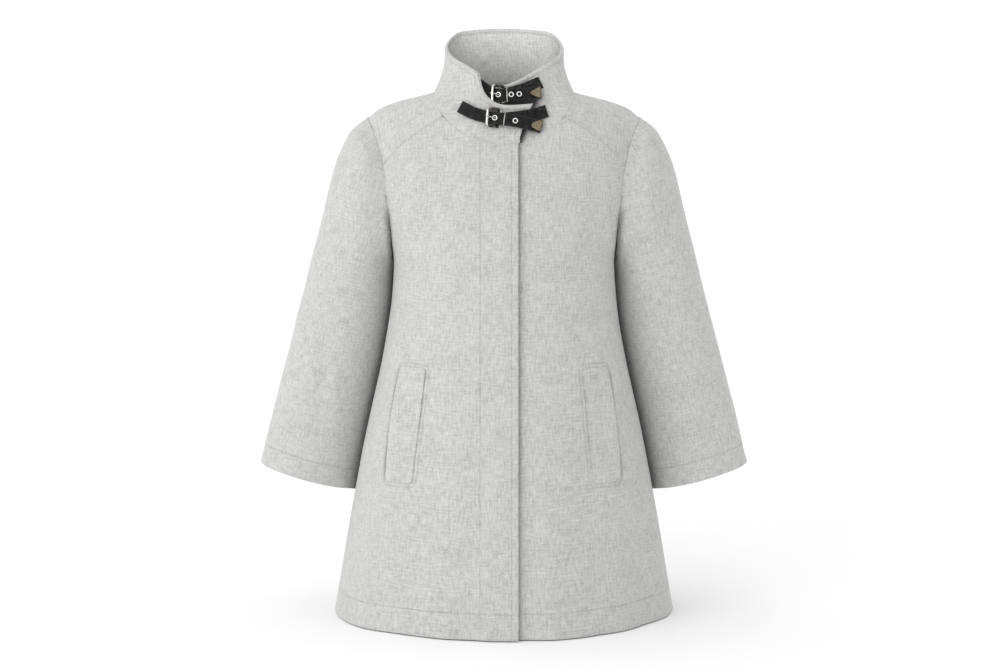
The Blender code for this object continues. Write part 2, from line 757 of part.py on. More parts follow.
def bridged(values):
    """The foremost of near values, then rounded off, and never behind the value itself."""
    last = len(values) - 1
    near = [min(values[min(max(k + m, 0), last)] for m in STRAP_SPAN) for k in range(last + 1)]
    soft = [sum(near[min(max(k + m, 0), last)] for m in STRAP_SPAN) / len(STRAP_SPAN) for k in range(last + 1)]
    return [min(pair) for pair in zip(soft, values)]


def depths_along(line, surfaces):
    """How far back the surfaces are along a line seen from the front. Misses take the nearest hit."""
    hits = [first_hit(surfaces, place.x, place.z) for place in line]
    known = [k for k, hit in enumerate(hits) if hit is not None]
    return [hits[min(known, key=lambda m: abs(m - k))].y for k in range(len(line))]


def strap_grid(spots, surfaces, layers, bar):
    """The underside of a strap on these surfaces. It rises evenly over layers and over a bar."""
    lines, middle = strap_places(spots)
    rests = [bridged(depths_along(line, surfaces)) for line in lines]
    lifts = [0.0] * len(middle)
    for line, rest in zip(lines, rests):
        for k, place in enumerate(line):
            hit = first_hit(layers, place.x, place.z)
            if hit is not None:
                lifts[k] = min(lifts[k], hit.y - rest[k])
    if bar:
        for k, place in enumerate(middle):
            near = smoothstep(BAR_REACH, BAR_FULL, abs(place.x - bar.x))
            lifts[k] = min(lifts[k], -BAR_LIFT * near)
    lifts = bridged(lifts)
    rows = []
    for line, rest in zip(lines, rests):
        rows.append([Vector((p.x, y + up - STRAP_REST, p.z)) for p, y, up in zip(line, rest, lifts)])
    return rows


def make_strap(name, spots, surfaces, layers=(), bar=None):
    """A leather strip on the surfaces. Gives the grid of its outside."""
    under = strap_grid(spots, surfaces, layers, bar)
    normals = grid_normals(under, False, lambda point: FRONT)
    outer = [[p + n * LEATHER for p, n in zip(*rows)] for rows in zip(under, normals)]
    wall(name, outer, under, leather)
    return outer


def strap_frame(outer, x):
    """Where a strap passes x: the place, and the directions along it to the left, across and out."""
    middle = outer[len(outer) // 2]
    k = min(range(1, len(middle) - 1), key=lambda m: abs(middle[m].x - x))
    along = (middle[k + 1] - middle[k - 1]).normalized()
    across = (outer[-1][k] - outer[0][k]).normalized()
    normal = along.cross(across).normalized()
    normal = normal if normal.dot(FRONT) > 0 else -normal
    place = middle[k] + along * ((x - middle[k].x) / along.x)
    return place, along, across, normal


def wire(name, points, radius, material, closed=False):
    """A bent round wire through these points."""
    data = bpy.data.curves.new(name, "CURVE")
    data.dimensions = "3D"
    data.bevel_depth = radius
    data.bevel_resolution = WIRE_ROUND
    data.use_fill_caps = True
    spline = data.splines.new("POLY")
    spline.points.add(len(points) - 1)
    for target, point in zip(spline.points, points):
        target.co = (*point, 1.0)
    spline.use_cyclic_u = closed
    return add_object(name, data, material)


def rounded_loop(corners, radius, steps=3):
    """A closed line through four corners with each corner rounded off."""
    points = []
    for k, corner in enumerate(corners):
        before, after = corners[k - 1], corners[(k + 1) % len(corners)]
        start = corner + (before - corner).normalized() * radius
        end = corner + (after - corner).normalized() * radius
        for step in range(steps + 1):
            t = step / steps
            points.append(start * (1 - t) ** 2 + corner * (2 * t * (1 - t)) + end * t * t)
    return points


def make_buckle(name, bar, tongue, surfaces):
    """A frame whose one bar lies under the tongue and whose other lies over it, and its prong."""
    reach = STRAP_WIDTH / 2 + FRAME_MARGIN
    _, along, across, normal = strap_frame(tongue, bar.x)
    low = first_hit(surfaces, bar.x, bar.z) + normal * (FRAME_WIRE + FRAME_REST)
    top_place, _, top_across, top_normal = strap_frame(tongue, bar.x - FRAME_LENGTH)
    high = top_place + top_normal * (FRAME_WIRE + FRAME_REST)
    corners = [low - across * reach, low + across * reach, high + top_across * reach, high - top_across * reach]
    wire(f"buckle_{name}_frame", rounded_loop(corners, FRAME_CORNER), FRAME_WIRE, metal, closed=True)
    return high, top_normal, along


def make_prong(name, start_x, tongue, high, high_normal, along):
    """The prong rises from its eyelet and rests on the frame's upper bar."""
    place, _, _, normal = strap_frame(tongue, start_x)
    start = place + along * PRONG_RISE / 2 + normal * (PRONG_WIRE + SEAM_GAP)
    clear = 2 * EYELET_WIRE + PRONG_WIRE + 3 * SEAM_GAP
    rise = place - along * PRONG_RISE / 2 + normal * clear
    rest = high + high_normal * (FRAME_WIRE + PRONG_WIRE + SEAM_GAP * 2)
    wire(f"buckle_{name}_prong", [start, rise, rest, rest - along * PRONG_TAIL], PRONG_WIRE, metal)


def make_keeper(name, x, tongue):
    """A wire staple over the tongue whose legs pass its edges."""
    place, _, across, normal = strap_frame(tongue, x)
    reach = STRAP_WIDTH / 2 + KEEPER_WIRE + SEAM_GAP * 2
    lift = KEEPER_WIRE + SEAM_GAP * 2
    over, under = place + normal * lift, place - normal * (LEATHER + KEEPER_WIRE * 0.5)
    points = [under - across * reach, over - across * reach, over + across * reach, under + across * reach]
    wire(f"keeper_{name}", points, KEEPER_WIRE, metal)


def make_eyelet(name, x, tongue):
    """A rolled metal ring on the tongue."""
    place, _, _, normal = strap_frame(tongue, x)
    bpy.ops.mesh.primitive_torus_add(
        major_radius=EYELET_OUTER - EYELET_WIRE,
        minor_radius=EYELET_WIRE,
        major_segments=EYELET_ROUND,
        minor_segments=EYELET_SIDES,
        location=place + normal * (EYELET_WIRE + SEAM_GAP),
        rotation=normal.to_track_quat("Z", "Y").to_euler(),
    )
    obj = bpy.context.object
    obj.name = name
    obj.data.name = name
    obj.data.shade_smooth()
    obj.data.materials.append(bright)
    for holder in list(obj.users_collection):
        holder.objects.unlink(obj)
    coat.objects.link(obj)


def strap_point(grid, along, across):
    """A point of a strap's grid at shares from 0 to 1 along and across it."""
    i, j = across * (len(grid) - 1), along * (len(grid[0]) - 1)
    row, column = min(int(i), len(grid) - 2), min(int(j), len(grid[0]) - 2)
    first = grid[row][column].lerp(grid[row][column + 1], j - column)
    last = grid[row + 1][column].lerp(grid[row + 1][column + 1], j - column)
    return first.lerp(last, i - row)


def make_tip(name, tongue):
    """A metal plate on the tongue's end, square at the end and round where it starts."""
    middle = tongue[len(tongue) // 2]
    length = sum((b - a).length for a, b in zip(middle, middle[1:]))
    under = []
    for i in range(TIP_ACROSS + 1):
        share = mix(-1, 1, i / TIP_ACROSS)
        reach = TIP_LENGTH * (TIP_SIDE + (1 - TIP_SIDE) * (1 - share * share) ** 0.5)
        across = 0.5 + share * 0.5 * TIP_WIDTH / STRAP_WIDTH
        row = [mix(1 - reach / length, 1, j / TIP_ALONG) for j in range(TIP_ALONG + 1)]
        under.append([strap_point(tongue, along, across) for along in row])
    normals = grid_normals(under, False, lambda point: FRONT)
    near, far = SEAM_GAP * 2, SEAM_GAP * 2 + TIP_PLATE
    outer = [[p + n * far for p, n in zip(*rows)] for rows in zip(under, normals)]
    under = [[p + n * near for p, n in zip(*rows)] for rows in zip(under, normals)]
    wall(name, outer, under, brass)


def make_closure(name, parts, surfaces):
    """One collar strap: its buckle tab, its tongue and the metal on them."""
    tab = make_strap(f"strap_{name}_tab", parts["tab"], surfaces)
    layers = [surface_of_grid(tab)]
    tongue = make_strap(f"strap_{name}_tongue", parts["tongue"], surfaces, layers, parts["bar"])
    high, high_normal, along = make_buckle(name, parts["bar"], tongue, surfaces)
    make_prong(name, parts["eyelets"][0], tongue, high, high_normal, along)
    make_keeper(name, parts["keeper"], tongue)
    for number, x in enumerate(parts["eyelets"], 1):
        make_eyelet(f"eyelet_{name}_{number}", x, tongue)
    make_tip(f"tip_{name}", tongue)


clear_scene()
coat = bpy.data.collections.new("coat")
bpy.context.scene.collection.children.link(coat)
wool = finish_material("grey_wool", (0.62, 0.62, 0.61), 0.95, 0.0)
leather = finish_material("black_leather", (0.012, 0.012, 0.014), 0.45, 0.0)
metal = finish_material("gunmetal", (0.16, 0.14, 0.12), 0.3, 1.0)
bright = finish_material("bright_nickel", (0.75, 0.75, 0.73), 0.2, 1.0)
brass = finish_material("antique_brass", (0.28, 0.22, 0.14), 0.4, 1.0)

make_body()
make_sleeve("sleeve_right", -1)
make_sleeve("sleeve_left", 1)
collar = make_collar()
make_welt("pocket_welt_right", -1)
make_welt("pocket_welt_left", 1)
bpy.context.view_layer.update()
half_way = len(collar[0]) // 2
under_end = surface_of_grid([row[half_way:] for row in collar])
over_end = surface_of_grid([row[: half_way + 1] for row in collar])
make_closure("upper", STRAPS["upper"], [under_end])
make_closure("lower", STRAPS["lower"], [over_end, under_end])
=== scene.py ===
# %% [markdown]
# # A light grey wool swing coat with a buckled funnel collar
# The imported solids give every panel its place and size. This script dresses them: each cut piece of
# cloth becomes a soft shell with rounded edges and sewing, the straps become leather, and the
# buckles, eyelets and tips become worn metal. The wearer's right is -X and the front faces -Y.

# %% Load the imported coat
from collections import namedtuple
from math import atan2, cos, pi, radians, remainder, sin

import bmesh
import bpy
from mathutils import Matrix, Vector, noise
from mathutils.bvhtree import BVHTree
from mathutils.kdtree import KDTree


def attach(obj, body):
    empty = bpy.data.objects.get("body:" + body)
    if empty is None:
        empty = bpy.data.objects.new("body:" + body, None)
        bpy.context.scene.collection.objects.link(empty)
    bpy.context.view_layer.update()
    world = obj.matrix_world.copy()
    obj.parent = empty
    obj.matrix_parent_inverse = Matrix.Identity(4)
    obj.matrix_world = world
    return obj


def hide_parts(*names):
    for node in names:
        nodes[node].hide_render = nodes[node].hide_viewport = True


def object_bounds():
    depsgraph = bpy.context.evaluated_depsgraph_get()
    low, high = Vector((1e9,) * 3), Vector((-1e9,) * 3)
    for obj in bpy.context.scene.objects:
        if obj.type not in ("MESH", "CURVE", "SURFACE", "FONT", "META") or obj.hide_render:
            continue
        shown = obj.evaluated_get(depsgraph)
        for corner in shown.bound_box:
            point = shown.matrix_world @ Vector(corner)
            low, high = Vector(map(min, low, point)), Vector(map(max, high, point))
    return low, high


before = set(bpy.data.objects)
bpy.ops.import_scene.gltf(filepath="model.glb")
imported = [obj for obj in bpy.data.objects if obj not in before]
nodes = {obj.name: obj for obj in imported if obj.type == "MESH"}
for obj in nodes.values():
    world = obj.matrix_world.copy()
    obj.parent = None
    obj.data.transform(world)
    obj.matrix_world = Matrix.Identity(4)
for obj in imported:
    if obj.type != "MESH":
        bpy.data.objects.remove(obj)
cad_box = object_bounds()
print("solids:", len(nodes), "box:", [[round(v, 3) for v in corner] for corner in cad_box])

# %% [markdown]
# ## Camera
# The photograph looks at the coat from straight in front and a little down. The distance is that of a
# studio shot, and the lens gives the coat the size it has in a frame of 1008 by 672 pixels.

# %% Place the camera
PHOTO_WIDTH = 1008
EYE_DISTANCE, EYE_HEIGHT = 2.6, -0.1395
LOOK_DOWN = radians(4.8)
PIXEL = 0.0015  # metres on the coat's middle plane

camera_data = bpy.data.cameras.new("camera")
camera_data.sensor_width = 36.0
camera_data.lens = camera_data.sensor_width * EYE_DISTANCE / cos(LOOK_DOWN) / PIXEL / PHOTO_WIDTH
camera = bpy.data.objects.new("camera", camera_data)
camera.location = (0.0, -EYE_DISTANCE, EYE_HEIGHT)
camera.rotation_euler = (pi / 2 - LOOK_DOWN, 0.0, 0.0)
bpy.context.scene.collection.objects.link(camera)
bpy.context.scene.camera = camera
print("lens:", round(camera_data.lens, 1), "mm")

# %% [markdown]
# ## Working on one object at a time
# Operators act on whatever is selected, and the loaded solids start out selected. So each step picks
# one object first. A modifier is added, set and applied in one go, which leaves a plain mesh.

# %% Select, apply and copy
def only(obj):
    """Select this object alone and make it active."""
    bpy.ops.object.select_all(action="DESELECT")
    obj.select_set(True)
    bpy.context.view_layer.objects.active = obj


def apply_modifier(obj, kind, **settings):
    """Add a modifier with these settings and apply it."""
    only(obj)
    modifier = obj.modifiers.new(kind.lower(), kind)
    for setting, value in settings.items():
        setattr(modifier, setting, value)
    bpy.ops.object.modifier_apply(modifier=modifier.name)


def copy_of(node, name, evenness):
    """A copy of a solid as one joined skin of quads. Its triangles are loose until they are merged."""
    obj = bpy.data.objects.new(name, nodes[node].data.copy())
    bpy.context.scene.collection.objects.link(obj)
    obj.data.materials.clear()
    only(obj)
    bpy.ops.object.mode_set(mode="EDIT")
    bpy.ops.mesh.select_mode(type="FACE")
    bpy.ops.mesh.select_all(action="SELECT")
    bpy.ops.mesh.customdata_custom_splitnormals_clear()
    bpy.ops.mesh.remove_doubles(threshold=1e-5)
    bpy.ops.mesh.tris_convert_to_quads(
        face_threshold=radians(50), shape_threshold=pi, topology_influence=evenness
    )
    bpy.ops.object.mode_set(mode="OBJECT")
    return obj


def smoothstep(low, high, value):
    t = min(max((value - low) / (high - low), 0.0), 1.0)
    return t * t * (3 - 2 * t)


print("helpers ready")

# %% [markdown]
# ## Cloth shells
# A coat panel is a piece of felted wool about 3 mm thick. Its solid is a coarse wall, so the shell is
# a copy of that wall with a Subdivision Surface. Left alone, subdivision would round off the panels'
# corners and pull them apart at their seams, so the cut edges get a full crease and sharp turns of
# an edge get a vertex crease. A Smooth modifier, held off the edges, then irons the panel.

# %% Tell the outside, the inside and the cut edges apart
OUTSIDE, RIM, INSIDE = 0, 1, 2  # face marks that subdivision passes on
RIM_ANGLE = radians(50)
CORNER_ANGLE = radians(29)
NARROW = 1.3  # a face through the cloth is less than this many thicknesses wide
SLEEVE_TOP, SLEEVE_END = Vector((0.186, 0.004, -0.135)), Vector((0.299, 0.035, -0.572))


def sleeve_middle(place):
    """The nearest point of the sleeve's middle line, and the line's direction."""
    side = Vector((1 if place.x > 0 else -1, 1, 1))
    top, end = SLEEVE_TOP * side, SLEEVE_END * side
    line = (end - top).normalized()
    return top + line * (place - top).dot(line), line


def out_of_body(place):
    return Vector((place.x, place.y, 0.0)).normalized()


def out_of_sleeve(place):
    return (place - sleeve_middle(place)[0]).normalized()


def upward(place):
    return Vector((0.0, 0.0, 1.0))


def frontward(place):
    return Vector((0.0, -1.0, 0.0))


def connected(faces):
    """Groups of these faces that share edges."""
    left, groups = set(faces), []
    while left:
        group, waiting = [], [left.pop()]
        while waiting:
            face = waiting.pop()
            group.append(face)
            near = {other for edge in face.edges for other in edge.link_faces} & left
            left -= near
            waiting += near
        groups.append(group)
    return groups


def mark_faces(skin, thickness, outward):
    """Mark each face of a wall as outside, inside or through the cloth."""
    broad = []
    for face in skin.faces:
        face.material_index = RIM
        if min(edge.calc_length() for edge in face.edges) > NARROW * thickness:
            broad.append(face)
    for group in connected(broad):
        facing = sum(face.normal.dot(outward(face.calc_center_median())) for face in group)
        for face in group:
            face.material_index = OUTSIDE if facing > 0 else INSIDE


def is_cut_edge(edge):
    """Whether an edge lies between a face through the cloth and another face."""
    marks = {face.material_index for face in edge.link_faces}
    return RIM in marks and len(marks) == 2


print("face marks:", OUTSIDE, RIM, INSIDE)

# %% Make a smooth shell from a solid
IRON_NEAR, IRON_FULL = 0.001, 0.014  # ironing starts and is full this far from a cut edge
IRON_STEPS, IRON_IN, IRON_OUT = 5, 0.5, -0.52


def mark_wall(obj, thickness, outward, square):
    """Mark a wall's faces, and hold its cut edges and, if square, its corners under subdivision."""
    skin = bmesh.new()
    skin.from_mesh(obj.data)
    mark_faces(skin, thickness, outward)
    edge_crease = skin.edges.layers.float.new("crease_edge")
    corner_crease = skin.verts.layers.float.new("crease_vert")
    for edge in skin.edges:
        sharp = square and all(face.material_index == RIM for face in edge.link_faces)
        sharp = sharp and edge.calc_face_angle(0.0) > RIM_ANGLE
        edge[edge_crease] = 1.0 if sharp or is_cut_edge(edge) else 0.0
    for vert in skin.verts:
        rim = [edge.other_vert(vert).co - vert.co for edge in vert.link_edges if edge[edge_crease] > 0]
        if square and len(rim) == 2 and rim[0].angle(-rim[1]) > CORNER_ANGLE:
            vert[corner_crease] = 1.0
    skin.to_mesh(obj.data)
    skin.free()


def lookup(places):
    """A lookup of the nearest of these places."""
    tree = KDTree(len(places))
    for k, place in enumerate(places):
        tree.insert(place, k)
    tree.balance()
    return tree


def rim_places(mesh):
    """The points on a wall's cut edges."""
    skin = bmesh.new()
    skin.from_mesh(mesh)
    rim = {vert for edge in skin.edges if is_cut_edge(edge) for vert in edge.verts}
    places = [vert.co.copy() for vert in rim]
    skin.free()
    return places


def iron(obj, passes):
    """Smooth the panel away from its cut edges, in and back out again so that it keeps its size."""
    tree = lookup(rim_places(obj.data))
    inside = obj.vertex_groups.new(name="inside")
    for vert in obj.data.vertices:
        inside.add([vert.index], smoothstep(IRON_NEAR, IRON_FULL, tree.find(vert.co)[2]), "REPLACE")
    for _ in range(passes):
        for factor in (IRON_IN, IRON_OUT):
            apply_modifier(obj, "SMOOTH", factor=factor, iterations=IRON_STEPS, vertex_group="inside")
    obj.vertex_groups.clear()


def fine_shell(node, name, thickness, outward, passes=0, evenness=2.0, levels=3, square=True):
    """A fine shell on a coarse wall."""
    shell = copy_of(node, name, evenness)
    mark_wall(shell, thickness, outward, square)
    apply_modifier(shell, "SUBSURF", levels=levels, render_levels=levels)
    if passes:
        iron(shell, passes)
    return shell


CLOTH, WELT_CLOTH = 0.0030, 0.0026
IRON_BODY, IRON_COLLAR, IRON_WELT = 6, 3, 1
FRONTS = ["front_right", "front_left"]
YOKES = ["yoke_right", "yoke_left"]
SLEEVES = [f"sleeve_{side}_{half}" for side in ("right", "left") for half in ("front", "back")]
WELTS = ["pocket_welt_right", "pocket_welt_left"]
shells = {}
outward_of = {name: out_of_body for name in FRONTS + ["back", "collar"] + WELTS}
outward_of.update({name: out_of_sleeve for name in SLEEVES})
outward_of.update({name: upward for name in YOKES})
for panel in FRONTS + ["back"] + YOKES + SLEEVES:
    shells[panel] = fine_shell(panel, f"{panel}_cloth", CLOTH, outward_of[panel], IRON_BODY)
shells["collar"] = fine_shell("collar", "collar_cloth", CLOTH, out_of_body, IRON_COLLAR, evenness=1.5)
for welt in WELTS:
    shells[welt] = fine_shell(welt, f"{welt}_cloth", WELT_CLOTH, out_of_body, IRON_WELT, square=False)
print("shells:", {name: len(shell.data.polygons) for name, shell in shells.items()})

# %% [markdown]
# ## Creases and drape
# Felted wool hangs in a few broad, soft troughs rather than sharp folds. A cloth simulation would choose
# creases of its own, so these are listed as the photograph shows them: each is a line seen square on,
# with a half width and a depth, and a ridge has a depth below zero. The outside and the inside of a
# panel, and panels that meet, move alike, so walls keep their thickness and seams stay closed. A faint
# ripple keeps the ironed panels from looking machined.

# %% Press soft troughs and ridges into the shells
Crease = namedtuple("Crease", "start end half_width depth")
FRONT_CREASES = [
    Crease((-0.040, -0.430), (-0.052, -0.790), 0.040, 0.0045),
    Crease((0.112, -0.420), (0.150, -0.800), 0.048, 0.0060),
    Crease((-0.128, -0.330), (-0.205, -0.800), 0.040, -0.0030),
    Crease((0.205, -0.500), (0.235, -0.800), 0.032, -0.0035),
    Crease((0.060, -0.520), (0.072, -0.800), 0.034, -0.0028),
    Crease((0.150, -0.150), (0.105, -0.260), 0.030, 0.0022),
    Crease((-0.152, -0.160), (-0.110, -0.250), 0.028, 0.0016),
]
BACK_CREASES = [
    Crease((-0.060, -0.380), (-0.085, -0.800), 0.048, 0.0060),
    Crease((0.045, -0.430), (0.060, -0.800), 0.042, 0.0050),
    Crease((0.150, -0.450), (0.190, -0.800), 0.040, 0.0050),
    Crease((-0.170, -0.470), (-0.200, -0.800), 0.036, 0.0040),
    Crease((-0.006, -0.500), (-0.012, -0.800), 0.030, -0.0030),
]
SLEEVE_CREASES = [
    Crease((0.232, -0.095), (0.243, -0.300), 0.026, 0.0040),
    Crease((-0.250, -0.300), (-0.282, -0.500), 0.026, 0.0028),
    Crease((0.285, -0.380), (0.325, -0.560), 0.028, 0.0026),
    Crease((-0.228, -0.110), (-0.236, -0.230), 0.024, 0.0024),
]
CREASE_FADE = 0.35  # share of a crease's length over which it starts, and over which it ends
RUN_ON = 0.2  # share of its length by which it runs on past its end
SIDE_FADE = 0.05  # creases run out this far before the side line
RIPPLE_DEPTH, RIPPLE_PER_METRE = 0.0009, 16.0


def crease_depth(place, creases):
    """How far the creases press a place in, from its distance to each line as seen square on."""
    spot = Vector((place.x, place.z))
    total = 0.0
    for crease in creases:
        from_start = spot - Vector(crease.start)
        line = Vector(crease.end) - Vector(crease.start)
        along = from_start.dot(line) / line.length_squared
        away = (from_start - line * along).length
        if away < crease.half_width and along > 0.0:
            starts = smoothstep(0.0, CREASE_FADE, along)
            ends = smoothstep(1.0, 1.0 - CREASE_FADE, along - RUN_ON)
            total += crease.depth * (starts * ends) * cos(pi / 2 * away / crease.half_width) ** 2
    return total


def body_press(place):
    creases = FRONT_CREASES if place.y < 0 else BACK_CREASES
    return smoothstep(0.0, SIDE_FADE, abs(place.y)) * crease_depth(place, creases)


def sleeve_press(place):
    depth = place.y - sleeve_middle(place)[0].y
    turned = place if depth < 0 else Vector((-place.x, place.y, place.z))
    return smoothstep(0.0, SIDE_FADE, abs(depth)) * crease_depth(turned, SLEEVE_CREASES)


def drape(obj, outward, press):
    """Move each point of a shell in or out by the creases and the ripple."""
    tree = lookup(rim_places(obj.data))
    for vert in obj.data.vertices:
        place = vert.co.copy()
        held = smoothstep(0.0, IRON_FULL, tree.find(place)[2])
        ripple = RIPPLE_DEPTH * held * noise.noise(place * RIPPLE_PER_METRE)
        vert.co = place + outward(place) * (ripple - press(place))
    obj.data.update()


UNDER_PRESS = 0.0030  # the lap beneath sits in by this much
UNDER_FULL, UNDER_OUT = 0.026, 0.056  # fully as far as this from the centre, and not past this


def lap_press(place):
    return UNDER_PRESS * smoothstep(UNDER_OUT, UNDER_FULL, place.x)


def under_press(place):
    return body_press(place) + lap_press(place)


for panel in ["front_right", "back"] + WELTS:
    drape(shells[panel], out_of_body, body_press)
drape(shells["front_left"], out_of_body, under_press)
for panel in SLEEVES:
    drape(shells[panel], out_of_sleeve, sleeve_press)
print("creases:", len(FRONT_CREASES) + len(BACK_CREASES) + len(SLEEVE_CREASES))

# %% [markdown]
# ## Shoulders and hem
# Two small changes bring the outline to the photograph's. The shoulder runs out to its tip in almost a
# straight line, so the hollow beside the tip is raised and the tip lowered, each by a soft dab. The
# skirt's weight draws the hem down, so the cloth is stretched a little, more and more toward the hem.

# %% Round the shoulders and drop the hem
Dab = namedtuple("Dab", "place radius lift")
SHOULDER_DABS = [
    Dab(Vector((0.190, 0.004, -0.032)), 0.034, 0.0036),
    Dab(Vector((0.203, 0.000, -0.030)), 0.013, -0.0026),
]
HEM_DROP, HEM_START, HEM_END = 0.0050, -0.600, -0.760


def round_shoulder(obj):
    """Raise the hollow beside the shoulder's tip and lower the tip."""
    for vert in obj.data.vertices:
        place = Vector((abs(vert.co.x), vert.co.y, vert.co.z))
        vert.co.z += sum(
            dab.lift * smoothstep(dab.radius, 0.0, (place - dab.place).length) for dab in SHOULDER_DABS
        )


def drop_hem(obj):
    """Let the cloth's weight stretch it a little toward the hem."""
    for vert in obj.data.vertices:
        vert.co.z -= HEM_DROP * smoothstep(HEM_START, HEM_END, vert.co.z)


for panel in YOKES + SLEEVES:
    round_shoulder(shells[panel])
for panel in FRONTS + ["back"]:
    drop_hem(shells[panel])
print("hem dropped by", HEM_DROP)

# %% [markdown]
# ## The collar's two ends
# The collar goes round the neck once and laps over itself. The end beneath is pressed in, as the front
# beneath is, and the free corner of the end on top curls out a little.

# %% Press the collar's under end in and lift the end on top
def turn_of(place):
    return atan2(place.x, place.y)


def collar_turns(mesh):
    """How far round each point of the collar is, from centre back and on past the lap."""
    near = {}
    for edge in mesh.edges:
        first, second = edge.vertices
        near.setdefault(first, []).append(second)
        near.setdefault(second, []).append(first)
    start = max(near, key=lambda k: mesh.vertices[k].co.y)
    turns, waiting = {start: turn_of(mesh.vertices[start].co)}, [start]
    while waiting:
        k = waiting.pop()
        for other in near[k]:
            if other not in turns:
                turns[other] = turns[k] + remainder(turn_of(mesh.vertices[other].co) - turns[k], 2 * pi)
                waiting.append(other)
    return turns


UNDER_TURN = radians(100)
END_PRESS, END_FULL, END_OUT = 0.0055, 0.046, 0.062  # above the neckline the collar's lap is wider
NECK_LOW, NECK_HIGH = -0.072, -0.045
LIP_LIFT, LIP_START, LIP_FULL = 0.0030, 0.006, 0.032  # how far out, from here, and fully here
LIP_LOW, LIP_HIGH = -0.026, -0.015
collar_mesh = shells["collar"].data
turns = collar_turns(collar_mesh)
for k, turn in turns.items():
    if turn > UNDER_TURN:
        place = collar_mesh.vertices[k].co.copy()
        share = smoothstep(NECK_LOW, NECK_HIGH, place.z)
        pressed = share * END_PRESS * smoothstep(END_OUT, END_FULL, place.x)
        depth = (1 - share) * lap_press(place) + pressed
        collar_mesh.vertices[k].co = place - out_of_body(place) * depth
    elif turn < -UNDER_TURN:
        place = collar_mesh.vertices[k].co.copy()
        share = smoothstep(LIP_START, LIP_FULL, place.x) * smoothstep(LIP_LOW, LIP_HIGH, place.z)
        collar_mesh.vertices[k].co = place + out_of_body(place) * LIP_LIFT * share
print("collar turns:", [round(value, 2) for value in (min(turns.values()), max(turns.values()))])

# %% [markdown]
# ## Sleeves against the body
# A hanging sleeve lies on the side of the coat, and the dark line between the two is one of the
# strongest in the photograph. The solids keep a few millimetres between them. So near the body the
# sleeve is flattened, which makes it slope back into the gap, and is moved over until it almost
# touches. Points deeper in the cloth are measured as if on its outside, so the wall stays a wall.

# %% Tuck the sleeves in and rest them on the body
SLEEVE_FREE, SLEEVE_FADE = -0.236, 0.009  # below the armhole, and how soon fully
TUCK_REACH, TUCK_SHARE = 0.020, 0.25  # this near the body a sleeve flattens, by up to this share
REST_REACH, REST_FULL, REST_MOST, REST_GAP = 0.016, 0.0048, 0.007, 0.0004


def joined_surface(objects):
    """One lookup of the faces of several objects."""
    places, faces = [], []
    for obj in objects:
        first = len(places)
        places += [vert.co.copy() for vert in obj.data.vertices]
        faces += [[first + k for k in polygon.vertices] for polygon in obj.data.polygons]
    return BVHTree.FromPolygons(places, faces)


def marked_points(mesh, *marks):
    """The points of the faces that have one of these marks."""
    return {k for polygon in mesh.polygons if polygon.material_index in marks for k in polygon.vertices}


def marked_lookup(mesh, mark):
    return lookup([mesh.vertices[k].co for k in marked_points(mesh, mark)])


def depths_in_cloth(mesh, thickness):
    """How far below the outside of the cloth each point is."""
    outer, inner = marked_lookup(mesh, OUTSIDE), marked_lookup(mesh, INSIDE)
    depths = []
    for vert in mesh.vertices:
        above, below = outer.find(vert.co)[2], inner.find(vert.co)[2]
        depths.append(thickness * above / max(above + below, 1e-9))
    return depths


def rest_on(obj, surface):
    """Flatten a sleeve near the body and lay it on, and say how far the farthest point went."""
    depths = depths_in_cloth(obj.data, CLOTH)
    farthest = 0.0
    for vert, depth in zip(obj.data.vertices, depths):
        free = smoothstep(SLEEVE_FREE, SLEEVE_FREE - SLEEVE_FADE, vert.co.z)
        if free == 0.0:
            continue
        away = surface.find_nearest(vert.co)[3] - depth
        tuck = free * TUCK_SHARE * smoothstep(TUCK_REACH, 0.0, away)
        vert.co.y += tuck * (sleeve_middle(vert.co)[0].y - vert.co.y)
        place, _, _, away = surface.find_nearest(vert.co)
        toward = (place - vert.co).normalized()
        away -= depth
        near = smoothstep(REST_REACH, REST_FULL, away)
        move = free * near * min(max(away - REST_GAP, 0.0), REST_MOST)
        farthest = max(farthest, move)
        vert.co += toward * move
    obj.data.update()
    return farthest


body_surface = joined_surface([shells[name] for name in FRONTS + ["back"]])
moved = {name: round(rest_on(shells[name], body_surface), 4) for name in SLEEVES}
print("sleeves moved:", moved)

# %% [markdown]
# ## Pocket mouths
# A welt is sewn down flat on three sides, and the hand goes in by the fourth, which faces the side
# seam. Wear pulls that edge open a little, most at its middle. The sewn part is pressed thin.

# %% Press the welts and open their mouths
WELT_TOP, WELT_BOTTOM = -0.393, -0.558
WELT_INNER_TOP, WELT_INNER_BOTTOM, WELT_WIDTH = 0.111, 0.131, 0.038
WELT_THIN, WELT_SINK, WELT_GAPE = 0.0011, 0.0010, 0.0022
GAPE_START = 0.55  # share of a welt's width from which it lifts


def on_welt(place):
    """How far across a welt, from its inner edge, and how far down it a place is, as shares."""
    down = min(max((WELT_TOP - place.z) / (WELT_TOP - WELT_BOTTOM), 0.0), 1.0)
    inner = WELT_INNER_TOP + (WELT_INNER_BOTTOM - WELT_INNER_TOP) * down
    return (abs(place.x) - inner) / WELT_WIDTH, down


def open_welt(obj):
    """Press a welt where it is sewn and lift its mouth."""
    depths = depths_in_cloth(obj.data, WELT_CLOTH)
    for vert, depth in zip(obj.data.vertices, depths):
        across, down = on_welt(vert.co)
        mouth = smoothstep(GAPE_START, 1.0, across) * sin(pi * down)
        sewn = WELT_SINK + WELT_THIN * (1.0 - depth / WELT_CLOTH)
        vert.co += out_of_body(vert.co) * (WELT_GAPE * mouth - sewn * (1.0 - mouth))
    obj.data.update()


for welt in WELTS:
    open_welt(shells[welt])
print("welts opened by", WELT_GAPE)

